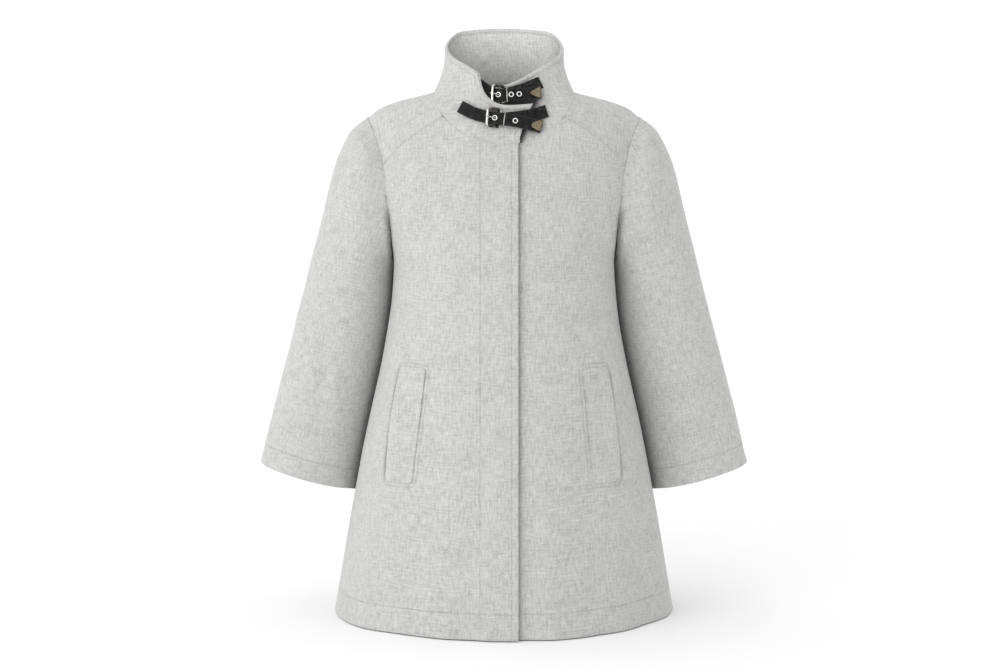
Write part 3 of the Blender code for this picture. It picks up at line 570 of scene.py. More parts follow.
# %% [markdown]
# ## Where the sewing goes
# A maker topstitches at a set distance from an edge, so the sewing lines are found in the same way:
# the outside's cut edge is walked round, split at its corners into sides, and a side is moved into
# the panel by the stitching's distance and laid on the cloth. The lines are found before the edges
# are rounded, while those are still sharp enough to find.

# %% Find the sides of a panel and lines along them
SIDE_CORNER = radians(35)
EdgePoint = namedtuple("EdgePoint", "place inward")


def outside_loop(skin):
    """The corners of the outside's cut edge in order, each with an outside face beside it."""
    links = {}
    for edge in skin.edges:
        outer = [face for face in edge.link_faces if face.material_index == OUTSIDE]
        if outer and is_cut_edge(edge):
            for vert in edge.verts:
                links.setdefault(vert, []).append((edge.other_vert(vert), outer[0]))
    loop = [next(iter(links))]
    before = None
    while True:
        onward = [vert for vert, _ in links[loop[-1]] if vert is not before]
        before = loop[-1]
        if onward[0] is loop[0]:
            return loop, {vert: found[0][1] for vert, found in links.items()}
        loop.append(onward[0])


def loop_points(obj):
    """The points of the outside's cut edge in order, each with its direction into the panel."""
    skin = bmesh.new()
    skin.from_mesh(obj.data)
    loop, faces = outside_loop(skin)
    points = []
    for k, vert in enumerate(loop):
        along = loop[(k + 1) % len(loop)].co - loop[k - 1].co
        face = faces[vert]
        inward = face.normal.cross(along).normalized()
        if inward.dot(face.calc_center_median() - vert.co) < 0:
            inward = -inward
        points.append(EdgePoint(vert.co.copy(), inward))
    skin.free()
    return points


def edge_sides(obj):
    """The sides of the outside's cut edge, each a list of edge points."""
    points = loop_points(obj)
    corners = []
    for k, point in enumerate(points):
        back = point.place - points[k - 1].place
        onward = points[(k + 1) % len(points)].place - point.place
        if back.angle(onward) > SIDE_CORNER:
            corners.append(k)
    sides = []
    for first, last in zip(corners, corners[1:] + [corners[0] + len(points)]):
        side = [points[k % len(points)] for k in range(first, last + 1)]
        side[0] = EdgePoint(side[0].place, side[1].inward)
        side[-1] = EdgePoint(side[-1].place, side[-2].inward)
        sides.append(side)
    return sides


def middle_of(side):
    return sum((point.place for point in side), Vector()) / len(side)


def surface_of(obj):
    return BVHTree.FromObject(obj, bpy.context.evaluated_depsgraph_get())


def line_along(side, distance, surface):
    """A line on the cloth at this distance from a side."""
    return [surface.find_nearest(point.place + point.inward * distance)[0] for point in side]


def line_behind(line, surface, thickness):
    """The line where stitches along another line come out on the back of the cloth."""
    normals = [surface.find_nearest(place)[1] for place in line]
    return [surface.find_nearest(place - normal * thickness)[0] for place, normal in zip(line, normals)]


bpy.context.view_layer.update()
surfaces = {name: surface_of(shell) for name, shell in shells.items()}
sides = {name: edge_sides(shell) for name, shell in shells.items() if name not in WELTS}
print("sides:", {name: len(found) for name, found in sides.items()})

# %% Lay out the sewing lines
HEM_TURN, CUFF_TURN = 0.037, 0.031  # from the hem and cuff to their stitching
EDGE_STITCH, PLACKET_STITCH = 0.0095, 0.0545  # from the front edge
COLLAR_STITCH = 0.0070
POCKET_STITCH = 0.0055  # outside the welt
MOUTH_FACING = 0.55  # a pocket's mouth is where its edge faces the side by this much

Sewing = namedtuple("Sewing", "edge distance lines")
sewing = {name: [] for name in shells}


def sew(name, side, distance):
    """Plan a row of stitches on a panel at this distance from one of its sides."""
    edge = [point.place for point in side]
    sewing[name].append(Sewing(edge, distance, [line_along(side, distance, surfaces[name])]))


for name in FRONTS + ["back"] + SLEEVES:
    bottom = min(sides[name], key=lambda side: middle_of(side).z)
    sew(name, bottom, CUFF_TURN if name in SLEEVES else HEM_TURN)
front_edge = max(sides["front_right"], key=lambda side: middle_of(side).x)
for distance in (EDGE_STITCH, PLACKET_STITCH):
    sew("front_right", front_edge, distance)
base = min(sides["collar"], key=lambda side: min(point.place.z for point in side[1:-1]))
collar_edges = [side for side in sides["collar"] if side is not base]
collar_lines = []
for side in collar_edges:
    outer_line = line_along(side, COLLAR_STITCH, surfaces["collar"])
    collar_lines += [outer_line, line_behind(outer_line, surfaces["collar"], CLOTH)]
collar_edge = [point.place for side in collar_edges for point in side]
sewing["collar"].append(Sewing(collar_edge, COLLAR_STITCH, collar_lines))


def sew_pocket(welt, front):
    """Plan stitches on the front round three sides of a welt, not the side the hand goes in by."""
    loop = loop_points(shells[welt])
    side = 1 if middle_of(loop).x > 0 else -1
    mouth = [point.inward.x * side < -MOUTH_FACING for point in loop]
    first = next(k for k in range(len(loop)) if mouth[k - 1] and not mouth[k])
    kept = []
    for point, is_mouth in zip(loop[first:] + loop[:first], mouth[first:] + mouth[:first]):
        if is_mouth:
            break
        kept.append(point)
    edge, line = (line_along(kept, -away, surfaces[front]) for away in (0.0, POCKET_STITCH))
    sewing[front].append(Sewing(edge, POCKET_STITCH, [line]))


for welt, front in zip(WELTS, FRONTS):
    sew_pocket(welt, front)
print("sewing plans:", {name: len(plans) for name, plans in sewing.items() if plans})

# %% [markdown]
# ## Rounded edges
# A cut edge of felt is never square. A Bevel would be stopped by the narrow faces through the cloth,
# so those faces are bowed instead: each of their points moves into the panel by an ellipse's rise,
# which leaves the middle of the edge where it was and draws the corners in. A free edge is drawn in
# well. At a seam two panels meet, and a little is enough for the fine valley that shows as a line.
# Before that, edges that are turned in and stitched are puffed up, as the cloth is double there.

# %% Puff up the turned edges
COLLAR_PUFF, EDGE_PUFF = 0.0008, 0.0005


def puff(obj, edges, width, height):
    """Raise a shell's two faces in a rounded band along some of its edges."""
    tree = lookup([point.place for side in edges for point in side])
    moves = []
    for k in marked_points(obj.data, OUTSIDE, INSIDE):
        vert = obj.data.vertices[k]
        away = tree.find(vert.co)[2]
        if away < width:
            moves.append((vert, vert.normal * height * sin(pi * away / width)))
    for vert, move in moves:
        vert.co += move
    obj.data.update()
    return len(moves)


print("collar puffed:", puff(shells["collar"], collar_edges, COLLAR_STITCH, COLLAR_PUFF))
print("front puffed:", puff(shells["front_right"], [front_edge], EDGE_STITCH, EDGE_PUFF))

# %% Bow the faces through the cloth
SEAM_NEAR, SEAM_FAR = 0.003, 0.008  # this near another panel's edge is a seam, and free past this
SEAM_DRAW, SEAM_CLOSE, COLLAR_CLOSE = 0.0004, 0.0002, 0.0014
FREE_DRAW = 0.0012


def freedom(place, others):
    """0 at a seam with another panel, 1 at a free edge."""
    return smoothstep(SEAM_NEAR, SEAM_FAR, others.find(place)[2])


def round_rims(obj, thickness, draw, others=None, close=SEAM_CLOSE):
    """Bow the edge of a wall. Its corners are drawn in, and less so at seams, which are closed."""
    tree = lookup(rim_places(obj.data))
    skin = bmesh.new()
    skin.from_mesh(obj.data)
    moves = []
    for vert in skin.verts:
        rim = [face.normal for face in vert.link_faces if face.material_index == RIM]
        if rim:
            height = 1.0 - min(2 * tree.find(vert.co)[2] / thickness, 1.0)
            out = sum(rim, Vector()).normalized()
            free = freedom(vert.co, others) if others else 1.0
            depth = SEAM_DRAW + (draw - SEAM_DRAW) * free
            bow = depth * (1.0 - (1.0 - height * height) ** 0.5)
            moves.append((vert, out * (close * (1.0 - free) - bow)))
    for vert, move in moves:
        vert.co += move
    for face in skin.faces:
        face.smooth = True
        face.material_index = 0
    skin.to_mesh(obj.data)
    skin.free()
    return len(moves)


rims = {name: rim_places(shell.data) for name, shell in shells.items()}
collar_facing = marked_points(collar_mesh, INSIDE)
rounded = 0
for name, shell in shells.items():
    others = lookup([place for other in rims if other != name for place in rims[other]])
    thickness = WELT_CLOTH if name in WELTS else CLOTH
    close = COLLAR_CLOSE if name == "collar" else SEAM_CLOSE
    rounded += round_rims(shell, thickness, FREE_DRAW, others, close)
print("rounded edge points:", rounded)

# %% [markdown]
# ## Topstitching
# The coat is sewn with a thread of its own grey. One stitch is a small bead, drawn out to a stitch's
# length. An Array fills the length of a line with stitches and a Curve modifier bends the row along
# it, so that each stitch follows the cloth. All rows on a panel are joined into one piece.

# %% Sew the lines
STITCH_LENGTH, STITCH_STEP, THREAD = 0.0026, 0.0034, 0.0006


def path_of(name, points):
    """A curve through a line of points."""
    data = bpy.data.curves.new(name, "CURVE")
    data.dimensions = "3D"
    spline = data.splines.new("POLY")
    spline.points.add(len(points) - 1)
    for target, point in zip(spline.points, points):
        target.co = (*point, 1.0)
    path = bpy.data.objects.new(name, data)
    bpy.context.scene.collection.objects.link(path)
    return path


def stitch_row(name, points):
    """A row of stitches along a line."""
    path = path_of(f"{name}_path", points)
    bpy.ops.object.select_all(action="DESELECT")
    bpy.ops.mesh.primitive_uv_sphere_add(segments=6, ring_count=5, radius=0.5, rotation=(0, pi / 2, 0))
    row = bpy.context.object
    row.name = name
    bpy.ops.object.transform_apply(location=False, rotation=True, scale=False)
    row.scale = (STITCH_LENGTH, THREAD, THREAD)
    bpy.ops.object.transform_apply(location=False, rotation=False, scale=True)
    bpy.ops.object.shade_smooth()
    bpy.context.view_layer.update()
    apply_modifier(
        row, "ARRAY", fit_type="FIT_CURVE", curve=path, use_relative_offset=False,
        use_constant_offset=True, constant_offset_displace=(STITCH_STEP, 0.0, 0.0),
    )
    apply_modifier(row, "CURVE", object=path, deform_axis="POS_X")
    bpy.data.objects.remove(path)
    return row


def join(name, parts):
    """Join objects into one of this name."""
    only(parts[0])
    for part in parts:
        part.select_set(True)
    bpy.ops.object.join()
    parts[0].name = name
    return parts[0]


stitching = {}
for name, plans in sewing.items():
    if plans:
        lines = [line for plan in plans for line in plan.lines]
        rows = [stitch_row(f"{name}_row_{k}", line) for k, line in enumerate(lines)]
        stitching[name] = join(f"{name}_stitching", rows)
print("stitched panels:", {name: len(obj.data.polygons) for name, obj in stitching.items()})

# %% [markdown]
# ## Painted shade in the folds, painted light in the collar
# Where one piece of the coat lies close on another, the photograph is almost black: under the arms,
# beside the lap and in the pockets' mouths. The shells leave more air there than real cloth does, so
# light gets in. Each point near another piece is given a darker tone, which the wool multiplies into
# its colour. The inside of the collar is the other way round: the photograph's lamps fill it almost
# as light as the outside, so its facing is toned up.

# %% Paint shade on the cloth near other pieces, and paint the collar's facing lighter
FOLD_TOP, FOLD_FULL = -0.150, -0.190  # the fold under an arm starts in the armhole
HOLE_LOW, ARM_LOW = -0.235, -0.275  # from the armhole to where the sleeve hangs free
HOLE_REACH, ARM_REACH, ARM_SHADE = 0.013, 0.017, 0.74
SIDE_REACH, SIDE_SHADE = 0.008, 0.40
LAP_REACH, LAP_SHADE = 0.008, 0.66
END_SHADE, END_NEAR, END_PAST = 0.90, 0.0012, 0.012  # past the collar's end on top, from full to none
END_LOW, END_HIGH = Vector((0.0205, -0.0723)), Vector((0.0415, -0.0165))  # that end, seen from the front
END_TOP, END_FADE_OUT = 0.004, 0.010
BACK_PAINTED_LIGHT, SIDE_PAINTED_LIGHT = 1.42, 0.98  # painted light on the collar's facing, a factor at centre back and at its sides
MOUTH_REACH, MOUTH_SHADE = 0.012, 0.92
MOUTH_START, MOUTH_FULL = 0.75, 0.95  # share of a welt's width
painted_shadings = {name: [1.0] * len(shell.data.vertices) for name, shell in shells.items()}


def paint_shading_near(name, surface, reach, most, share):
    """Paint shade on the points of a shell near a surface, by how near they are and a share of their
    own.
    """
    for k, vert in enumerate(shells[name].data.vertices):
        own = share(k, vert.co)
        if own > 0.0:
            near = smoothstep(reach(vert.co), 0.0, surface.find_nearest(vert.co)[3])
            painted_shadings[name][k] = min(painted_shadings[name][k], 1.0 - most * own * near)


def under_arm(k, place):
    return smoothstep(FOLD_TOP, FOLD_FULL, place.z)


def in_armhole(k, place):
    return smoothstep(FOLD_TOP, FOLD_FULL, place.z) * smoothstep(ARM_LOW, HOLE_LOW, place.z)


def arm_reach(place):
    return HOLE_REACH + (ARM_REACH - HOLE_REACH) * smoothstep(HOLE_LOW, ARM_LOW, place.z)


def in_mouth(k, place):
    across, down = on_welt(place)
    return smoothstep(MOUTH_START, MOUTH_FULL, across) * sin(pi * down) ** 0.5


# Painted shade under the arms, beside the lap and in the pockets' mouths
sleeve_surface = joined_surface([shells[name] for name in SLEEVES])
for name in SLEEVES:
    paint_shading_near(name, body_surface, arm_reach, ARM_SHADE, under_arm)
for name in FRONTS + ["back"]:
    paint_shading_near(name, sleeve_surface, lambda place: SIDE_REACH, SIDE_SHADE, in_armhole)
paint_shading_near(
    "front_left", surfaces["front_right"], lambda place: LAP_REACH, LAP_SHADE, lambda k, place: 1.0
)
for welt, front in zip(WELTS, FRONTS):
    paint_shading_near(front, surfaces[welt], lambda place: MOUTH_REACH, MOUTH_SHADE, in_mouth)
# Painted shade on the collar's under end, just past the end that lies on top
for k, turn in turns.items():
    if turn > UNDER_TURN:
        place = collar_mesh.vertices[k].co
        up = (place.z - END_LOW.y) / (END_HIGH.y - END_LOW.y)
        past = place.x - END_LOW.lerp(END_HIGH, up).x
        beside = smoothstep(END_PAST, END_NEAR, past)
        below = smoothstep(END_TOP, END_TOP - END_FADE_OUT, place.z)
        painted_shadings["collar"][k] = 1.0 - END_SHADE * (beside * below)
# Painted light: the collar's facing is painted lighter toward centre back
for k in collar_facing:
    painted_shadings["collar"][k] *= SIDE_PAINTED_LIGHT + (BACK_PAINTED_LIGHT - SIDE_PAINTED_LIGHT) * smoothstep(pi / 2, pi / 6, abs(turns[k]))
print("darkest tones:", {name: round(min(painted_shading), 2) for name, painted_shading in painted_shadings.items()})

# %% [markdown]
# ## Grain and sewing marks
# The wool's threads run along each panel, so the pattern needs a map that follows the cloth. A UV
# unwrap would stretch it by a different amount on each panel. Instead each point gets its place
# round and along the form in metres. Further marks on each point, its distance past each sewing
# line, let the material press a valley along the stitches. A distance that changes sign at the line
# stays exact between points that are farther apart than the valley is wide.

# %% Write the grain map, the sewing distances and the tone
SIDE_DEPTH, SLOPE = 0.10, 0.75  # of the body at its sides, and of the shoulders
SLEEVE_RADIUS, COLLAR_RADIUS = 0.07, 0.085
MOST_PLANS, FAR_FROM_SEWING = 4, 0.05


def round_body(place):
    """How far round the front or back a place is, close to what a tape would measure."""
    side = 1 if place.x > 0 else -1
    return place.x + side * smoothstep(0.05, 0.22, abs(place.x)) * (SIDE_DEPTH - abs(place.y))


def front_grain(place):
    return round_body(place), place.z


def back_grain(place):
    return 1.0 + round_body(place), place.z


def yoke_grain(place):
    return 2.0 + place.x, SLOPE * (place.z + place.y)


def sleeve_grain(place):
    middle, line = sleeve_middle(place)
    away = place - middle
    offset = 3.0 if place.x > 0 else 4.0
    return offset + atan2(away.y, abs(away.x)) * SLEEVE_RADIUS, place.dot(line)


def write_marks(name, spots):
    """Give a shell its grain map, and each point its painted shading and its distance past the sewing
    lines.
    """
    mesh = shells[name].data
    layer = mesh.uv_layers.new(name="grain")
    layer.data.foreach_set("uv", [value for loop in mesh.loops for value in spots[loop.vertex_index]])
    mesh.attributes.new("painted_shading", "FLOAT", "POINT").data.foreach_set("value", painted_shadings[name])
    for k in range(MOST_PLANS):
        values = [FAR_FROM_SEWING] * len(mesh.vertices)
        if k < len(sewing[name]):
            plan = sewing[name][k]
            tree = lookup(plan.edge)
            values = [tree.find(vert.co)[2] - plan.distance for vert in mesh.vertices]
        mesh.attributes.new(f"sewing_{k}", "FLOAT", "POINT").data.foreach_set("value", values)


grains = {name: front_grain for name in FRONTS + WELTS}
grains.update({name: yoke_grain for name in YOKES})
grains.update({name: sleeve_grain for name in SLEEVES})
grains["back"] = back_grain
for name, grain in grains.items():
    write_marks(name, [grain(vert.co) for vert in shells[name].data.vertices])
round_collar = [(5.0 + turns[vert.index] * COLLAR_RADIUS, vert.co.z) for vert in collar_mesh.vertices]
write_marks("collar", round_collar)
print("grain maps:", len(grains) + 1)

# %% [markdown]
# ## Straps
# Each collar strap is two pieces of black leather: a tab sewn to one side of the collar and a tongue
# that passes through its buckle. The solids already bend over the collar and over each other, so a
# strap is made as the cloth is, from its wall, with fewer divisions and a tighter edge. Ironing is
# left out, because a strap has to keep the bend where it climbs over the buckle's bar. The brass
# plates on the tongues' ends narrow toward where they start.

# %% Make the straps and the brass tips
LEATHER, LEATHER_DRAW = 0.0018, 0.0005
TIP_PLATE, TIP_DRAW = 0.0011, 0.0004
STRAPS = [f"strap_{place}_{piece}" for place in ("upper", "lower") for piece in ("tab", "tongue")]
TIPS = ["tip_upper", "tip_lower"]
straps, tips = {}, {}
for strap in STRAPS:
    straps[strap] = fine_shell(strap, f"{strap}_leather", LEATHER, frontward, levels=2)
for tip in TIPS:
    tips[tip] = fine_shell(tip, f"{tip}_brass", TIP_PLATE, frontward, levels=2)
TIP_STARTS = {"tip_upper": 0.58, "tip_lower": 0.74}  # width where a tip starts, as a share of its end's


def taper_tip(obj, least):
    """Narrow a tip plate toward where it starts, in its own sloping plane."""
    places = [vert.co.copy() for vert in obj.data.vertices]
    middle = sum(places, Vector()) / len(places)
    around = [place - middle for place in places]
    fall = sum(spot.x * spot.z for spot in around) / sum(spot.x ** 2 for spot in around)
    across = [spot.z - fall * spot.x for spot in around]
    lean = sum(wide * spot.y for wide, spot in zip(across, around)) / sum(wide ** 2 for wide in across)
    left, right = min(place.x for place in places), max(place.x for place in places)
    for vert, wide in zip(obj.data.vertices, across):
        share = least + (1.0 - least) * smoothstep(left, right, vert.co.x)
        vert.co += Vector((0.0, lean, 1.0)) * wide * (share - 1.0)
    obj.data.update()


for name, least in TIP_STARTS.items():
    taper_tip(tips[name], least)


def write_edge_distance(obj):
    """Give each point its distance to the piece's cut edge, for wear along it."""
    tree = lookup(rim_places(obj.data))
    distance = obj.data.attributes.new("edge_distance", "FLOAT", "POINT")
    for vert, mark in zip(obj.data.vertices, distance.data):
        mark.value = tree.find(vert.co)[2]


for strap in straps.values():
    write_edge_distance(strap)
    round_rims(strap, LEATHER, LEATHER_DRAW)
for tip in tips.values():
    write_edge_distance(tip)
    round_rims(tip, TIP_PLATE, TIP_DRAW)
print("straps:", {name: len(strap.data.polygons) for name, strap in straps.items()})

# %% [markdown]
# ## Buckles, keepers and eyelets
# These are bent wire and rolled rings. Their solids have the right path but few sides, so a copy of
# each gets a Subdivision Surface. The flat ends of a prong and a keeper are creased, or they would
# shrink to points. The bar that a strap is drawn over is thicker than the rest of its frame and
# stands upright, clear of the collar's edge.

# %% Round the wire and the rings
FRAMES = ["buckle_upper_frame", "buckle_lower_frame"]
WIRES = ["buckle_upper_prong", "buckle_lower_prong", "keeper_upper", "keeper_lower"]
EYELETS = [f"eyelet_upper_{k}" for k in (1, 2, 3)] + [f"eyelet_lower_{k}" for k in (1, 2)]
WIRE_END_ANGLE, WIRE_END_CREASE = radians(70), 0.5


def round_metal(node, plump):
    """A smooth copy of a wire or ring, a little thicker all over."""
    piece = copy_of(node, f"{node}_metal", evenness=1.0)
    skin = bmesh.new()
    skin.from_mesh(piece.data)
    crease = skin.edges.layers.float.new("crease_edge")
    for edge in skin.edges:
        edge[crease] = WIRE_END_CREASE if edge.calc_face_angle(0.0) > WIRE_END_ANGLE else 0.0
    for face in skin.faces:
        face.smooth = True
    skin.to_mesh(piece.data)
    skin.free()
    apply_modifier(piece, "SUBSURF", levels=2, render_levels=2)
    apply_modifier(piece, "DISPLACE", strength=plump, mid_level=0.0)
    return piece


BAR_SHARE, BAR_FULL = 0.22, 0.11  # of a frame's length, from where a bar starts to its middle
FreeBar = namedtuple("FreeBar", "tilt plump aside forward")
FREE_BARS = {
    "buckle_upper_frame": FreeBar(0.27, 0.0007, 0.0026, 0.0022),
    "buckle_lower_frame": FreeBar(0.095, 0.0002, 0.0, 0.0),
}


def frame_shares(obj, tilt):
    """How far along its strap each point of a tilted frame is, as a share of the frame's length."""
    along = [vert.co.x - tilt * vert.co.z for vert in obj.data.vertices]
    first, last = min(along), max(along)
    return [(value - first) / (last - first) for value in along]


def shape_free_bar(obj, bar):
    """Thicken and straighten the bar that the strap is drawn over, and lift it clear of the collar."""
    heights = [vert.co.z for vert in obj.data.vertices]
    middle = (min(heights) + max(heights)) / 2
    moves = []
    for vert, along in zip(obj.data.vertices, frame_shares(obj, bar.tilt)):
        upright = Vector((bar.aside - bar.tilt * (vert.co.z - middle), -bar.forward, 0.0))
        share = smoothstep(BAR_SHARE, BAR_FULL, along)
        moves.append((vert, (vert.normal * bar.plump + upright) * share))
    for vert, move in moves:
        vert.co += move
    obj.data.update()


FRAME_PLUMP, WIRE_PLUMP = 0.0010, 0.0002  # subdivision thins a wire, and cast frames are thicker
metal = {node: round_metal(node, FRAME_PLUMP) for node in FRAMES}
metal.update({node: round_metal(node, WIRE_PLUMP) for node in WIRES + EYELETS})
lengths = {node: frame_shares(metal[node], bar.tilt) for node, bar in FREE_BARS.items()}
for node, bar in FREE_BARS.items():
    shape_free_bar(metal[node], bar)
print("metal:", {name: len(piece.data.polygons) for name, piece in metal.items()})

# %% [markdown]
# ## Finishes
# A material is a small graph of nodes that ends in a Principled shader. Values that are the same all
# over go straight on the shader, and only what varies is linked. Two helpers keep the graphs short:
# one adds a node and sets it, the other adds a noise pattern stretched along the cloth.

# %% Helpers for material graphs
def new_finish(name, **sockets):
    """A material with these values set on its shader."""
    material = bpy.data.materials.new(name)
    material.use_nodes = True
    shader = material.node_tree.nodes["Principled BSDF"]
    for socket, value in sockets.items():
        shader.inputs[socket.replace("_", " ")].default_value = value
    return material.node_tree, shader, material


def add(tree, kind, values=None, **properties):
    """A node with its properties and input values set."""
    node = tree.nodes.new(f"ShaderNode{kind}")
    for name, value in properties.items():
        setattr(node, name, value)
    for name, value in (values or {}).items():
        node.inputs[name].default_value = value
    return node


def noise_of(tree, coordinates, scale, detail=2.0, roughness=0.55):
    """Noise whose scale, in features for a metre, may differ along each axis."""
    mapping = add(tree, "Mapping", {"Scale": scale})
    pattern = add(tree, "TexNoise", {"Scale": 1.0, "Detail": detail, "Roughness": roughness})
    tree.links.new(coordinates, mapping.inputs["Vector"])
    tree.links.new(mapping.outputs["Vector"], pattern.inputs["Vector"])
    return pattern.outputs["Fac"]


def weighted(tree, parts):
    """The sum of patterns, each times its weight."""
    total = None
    for pattern, weight in parts:
        step = add(tree, "Math", {1: weight}, operation="MULTIPLY")
        tree.links.new(pattern, step.inputs[0])
        if total is not None:
            joined = add(tree, "Math", operation="ADD")
            tree.links.new(total, joined.inputs[0])
            tree.links.new(step.outputs[0], joined.inputs[1])
            step = joined
        total = step.outputs[0]
    return total


def ramp(tree, value, stops, mode="LINEAR"):
    """A colour ramp from places and colours."""
    node = add(tree, "ValToRGB")
    node.color_ramp.interpolation = mode
    elements = node.color_ramp.elements
    while len(elements) < len(stops):
        elements.new(0.5)
    for element, (place, colour) in zip(elements, stops):
        element.position = place
        element.color = (*colour, 1.0)
    tree.links.new(value, node.inputs["Fac"])
    return node.outputs["Color"]


def bump(tree, height, distance, strength=1.0, under=None):
    """A bump over another bump."""
    node = add(tree, "Bump", {"Strength": strength, "Distance": distance})
    tree.links.new(height, node.inputs["Height"])
    if under is not None:
        tree.links.new(under, node.inputs["Normal"])
    return node.outputs["Normal"]


print("finish helpers ready")

# %% [markdown]
# ## Heathered wool
# The cloth is spun from light and dark grey fibres, so its colour wanders in short streaks along and
# across the grain, in soft blotches, and in a few dark flecks. The same streaks lift the nap a
# little. The shader's sheen stands for the fuzz that catches light at grazing angles. Beside a
# stitch the cloth is pulled in, so the distance to the sewing makes a valley and a faint shade.

# %% Colour the wool
WOOL_DARK, WOOL_MID, WOOL_LIGHT = (0.312, 0.312, 0.306), (0.512, 0.512, 0.504), (0.676, 0.676, 0.666)
SLUB_ACROSS, SLUB_ALONG = 380.0, 70.0  # features for a metre

tree, shader, wool = new_finish(
    "grey_wool_felt", Roughness=0.92, Specular_IOR_Level=0.15, Sheen_Weight=0.25, Sheen_Roughness=0.6
)
grain = add(tree, "UVMap", uv_map="grain").outputs["UV"]
warp = noise_of(tree, grain, (SLUB_ACROSS, SLUB_ALONG, 1.0))
weft = noise_of(tree, grain, (SLUB_ALONG, SLUB_ACROSS, 1.0))
felt = noise_of(tree, grain, (520.0, 520.0, 1.0), detail=4.0, roughness=0.65)
blotch = noise_of(tree, grain, (38.0, 30.0, 1.0))
heather = weighted(tree, [(warp, 0.33), (weft, 0.25), (felt, 0.31), (blotch, 0.11)])
colour = ramp(tree, heather, [(0.32, WOOL_DARK), (0.50, WOOL_MID), (0.68, WOOL_LIGHT)])
flecks = noise_of(tree, grain, (900.0, 420.0, 1.0), detail=1.0)
fleck_shade = ramp(tree, flecks, [(0.66, (1.0, 1.0, 1.0)), (0.76, (0.62, 0.62, 0.62))])
print("wool colours:", len(tree.nodes), "nodes")

# %% Press a valley along the stitches and finish the wool
VALLEY = 0.0020  # half width of the valley along a row of stitches
nearest = None
for k in range(MOST_PLANS):
    away = add(tree, "Math", operation="ABSOLUTE")
    tree.links.new(add(tree, "Attribute", attribute_name=f"sewing_{k}").outputs["Fac"], away.inputs[0])
    if nearest is not None:
        least = add(tree, "Math", operation="MINIMUM")
        tree.links.new(nearest, least.inputs[0])
        tree.links.new(away.outputs[0], least.inputs[1])
        away = least
    nearest = away.outputs[0]
valley = add(tree, "MapRange", {"From Max": VALLEY}, interpolation_type="SMOOTHSTEP")
tree.links.new(nearest, valley.inputs["Value"])
# The painted shading is painted shade near other pieces and painted light in the collar's facing,
# multiplied into the colour
painted_shading = add(tree, "Attribute", attribute_name="painted_shading").outputs["Color"]
# The valley is also painted a little darker in the colour, as painted shade
valley_shade = ramp(tree, valley.outputs["Result"], [(0.0, (0.93, 0.93, 0.93)), (1.0, (1.0, 1.0, 1.0))])
for shade in (fleck_shade, valley_shade, painted_shading):
    darken = add(tree, "Mix", {"Factor": 1.0}, data_type="RGBA", blend_type="MULTIPLY")
    tree.links.new(colour, darken.inputs["A"])
    tree.links.new(shade, darken.inputs["B"])
    colour = darken.outputs["Result"]
tree.links.new(colour, shader.inputs["Base Color"])
nap = weighted(tree, [(felt, 0.5), (warp, 0.3), (weft, 0.3)])
pressed = bump(tree, valley.outputs["Result"], 0.0007, 0.6)
tree.links.new(bump(tree, nap, 0.0009, 0.55, pressed), shader.inputs["Normal"])
for shell in shells.values():
    shell.data.materials.append(wool)
print("wool nodes:", len(tree.nodes))

# %% Make the sewing thread
tree, shader, thread = new_finish("grey_thread", Roughness=0.7, Specular_IOR_Level=0.25)
place = add(tree, "TexCoord").outputs["Object"]
twist = noise_of(tree, place, (2200.0, 2200.0, 2200.0))
tree.links.new(ramp(tree, twist, [(0.35, (0.37, 0.37, 0.364)), (0.65, (0.52, 0.52, 0.512))]),
               shader.inputs["Base Color"])
tree.links.new(bump(tree, twist, 0.0002, 0.6), shader.inputs["Normal"])
for row in stitching.values():
    row.data.materials.append(thread)
print("thread on:", len(stitching))

# %% [markdown]
# ## Black leather
# The straps are black hide with a fine pebble grain. Cells give the pebbles, and their hollows are
# painted darker as painted shade; a broad noise makes the surface unevenly worn and glossy, and the cut
# edges, which rub, are a little greyer.

# %% Make the leather
tree, shader, leather = new_finish("black_leather_grain", Specular_IOR_Level=0.18)
place = add(tree, "TexCoord").outputs["Object"]
pebbles = add(tree, "TexVoronoi", {"Scale": 1300.0}, feature="SMOOTH_F1")
tree.links.new(place, pebbles.inputs["Vector"])
wear = noise_of(tree, place, (160.0, 160.0, 160.0), detail=4.0)
edge_distance = add(tree, "Attribute", attribute_name="edge_distance").outputs["Fac"]
rub = add(tree, "MapRange", {"From Max": 0.0016, "To Min": 1.0, "To Max": 0.0})
tree.links.new(edge_distance, rub.inputs["Value"])
# Real wear and rubbed edges, plus painted shade in the pebbles' hollows
rubbed = weighted(tree, [(rub.outputs["Result"], 0.30), (wear, 0.5), (pebbles.outputs["Distance"], 0.3)])
tree.links.new(ramp(tree, rubbed, [(0.30, (0.001, 0.001, 0.0012)), (0.64, (0.036, 0.035, 0.034))]),
               shader.inputs["Base Color"])
tree.links.new(ramp(tree, wear, [(0.3, (0.20, 0.20, 0.20)), (0.7, (0.42, 0.42, 0.42))]),
               shader.inputs["Roughness"])
tree.links.new(bump(tree, pebbles.outputs["Distance"], 0.0006, 0.9), shader.inputs["Normal"])
for strap in straps.values():
    strap.data.materials.append(leather)
print("leather on:", len(straps))

# %% [markdown]
# ## Worn metal
# The buckles are plated dark and have worn bright where the straps are drawn over their two upright
# bars. The eyelets are bright nickel, and the tips dull brass that stays dark along its edge. All
# three share a graph: two noises and the amount of rubbing marked on each point pick between a deep
# and a worn colour and drive the gloss.

# %% Mark where the metal rubs
FREE_BAR_RUB, HINGE_BAR_RUB, WIRE_RUB, TIP_RUB = 1.0, 0.65, 0.6, 0.60
EDGE_PATINA = 0.0018


def write_rub(obj, values):
    obj.data.attributes.new("rub", "FLOAT", "POINT").data.foreach_set("value", values)


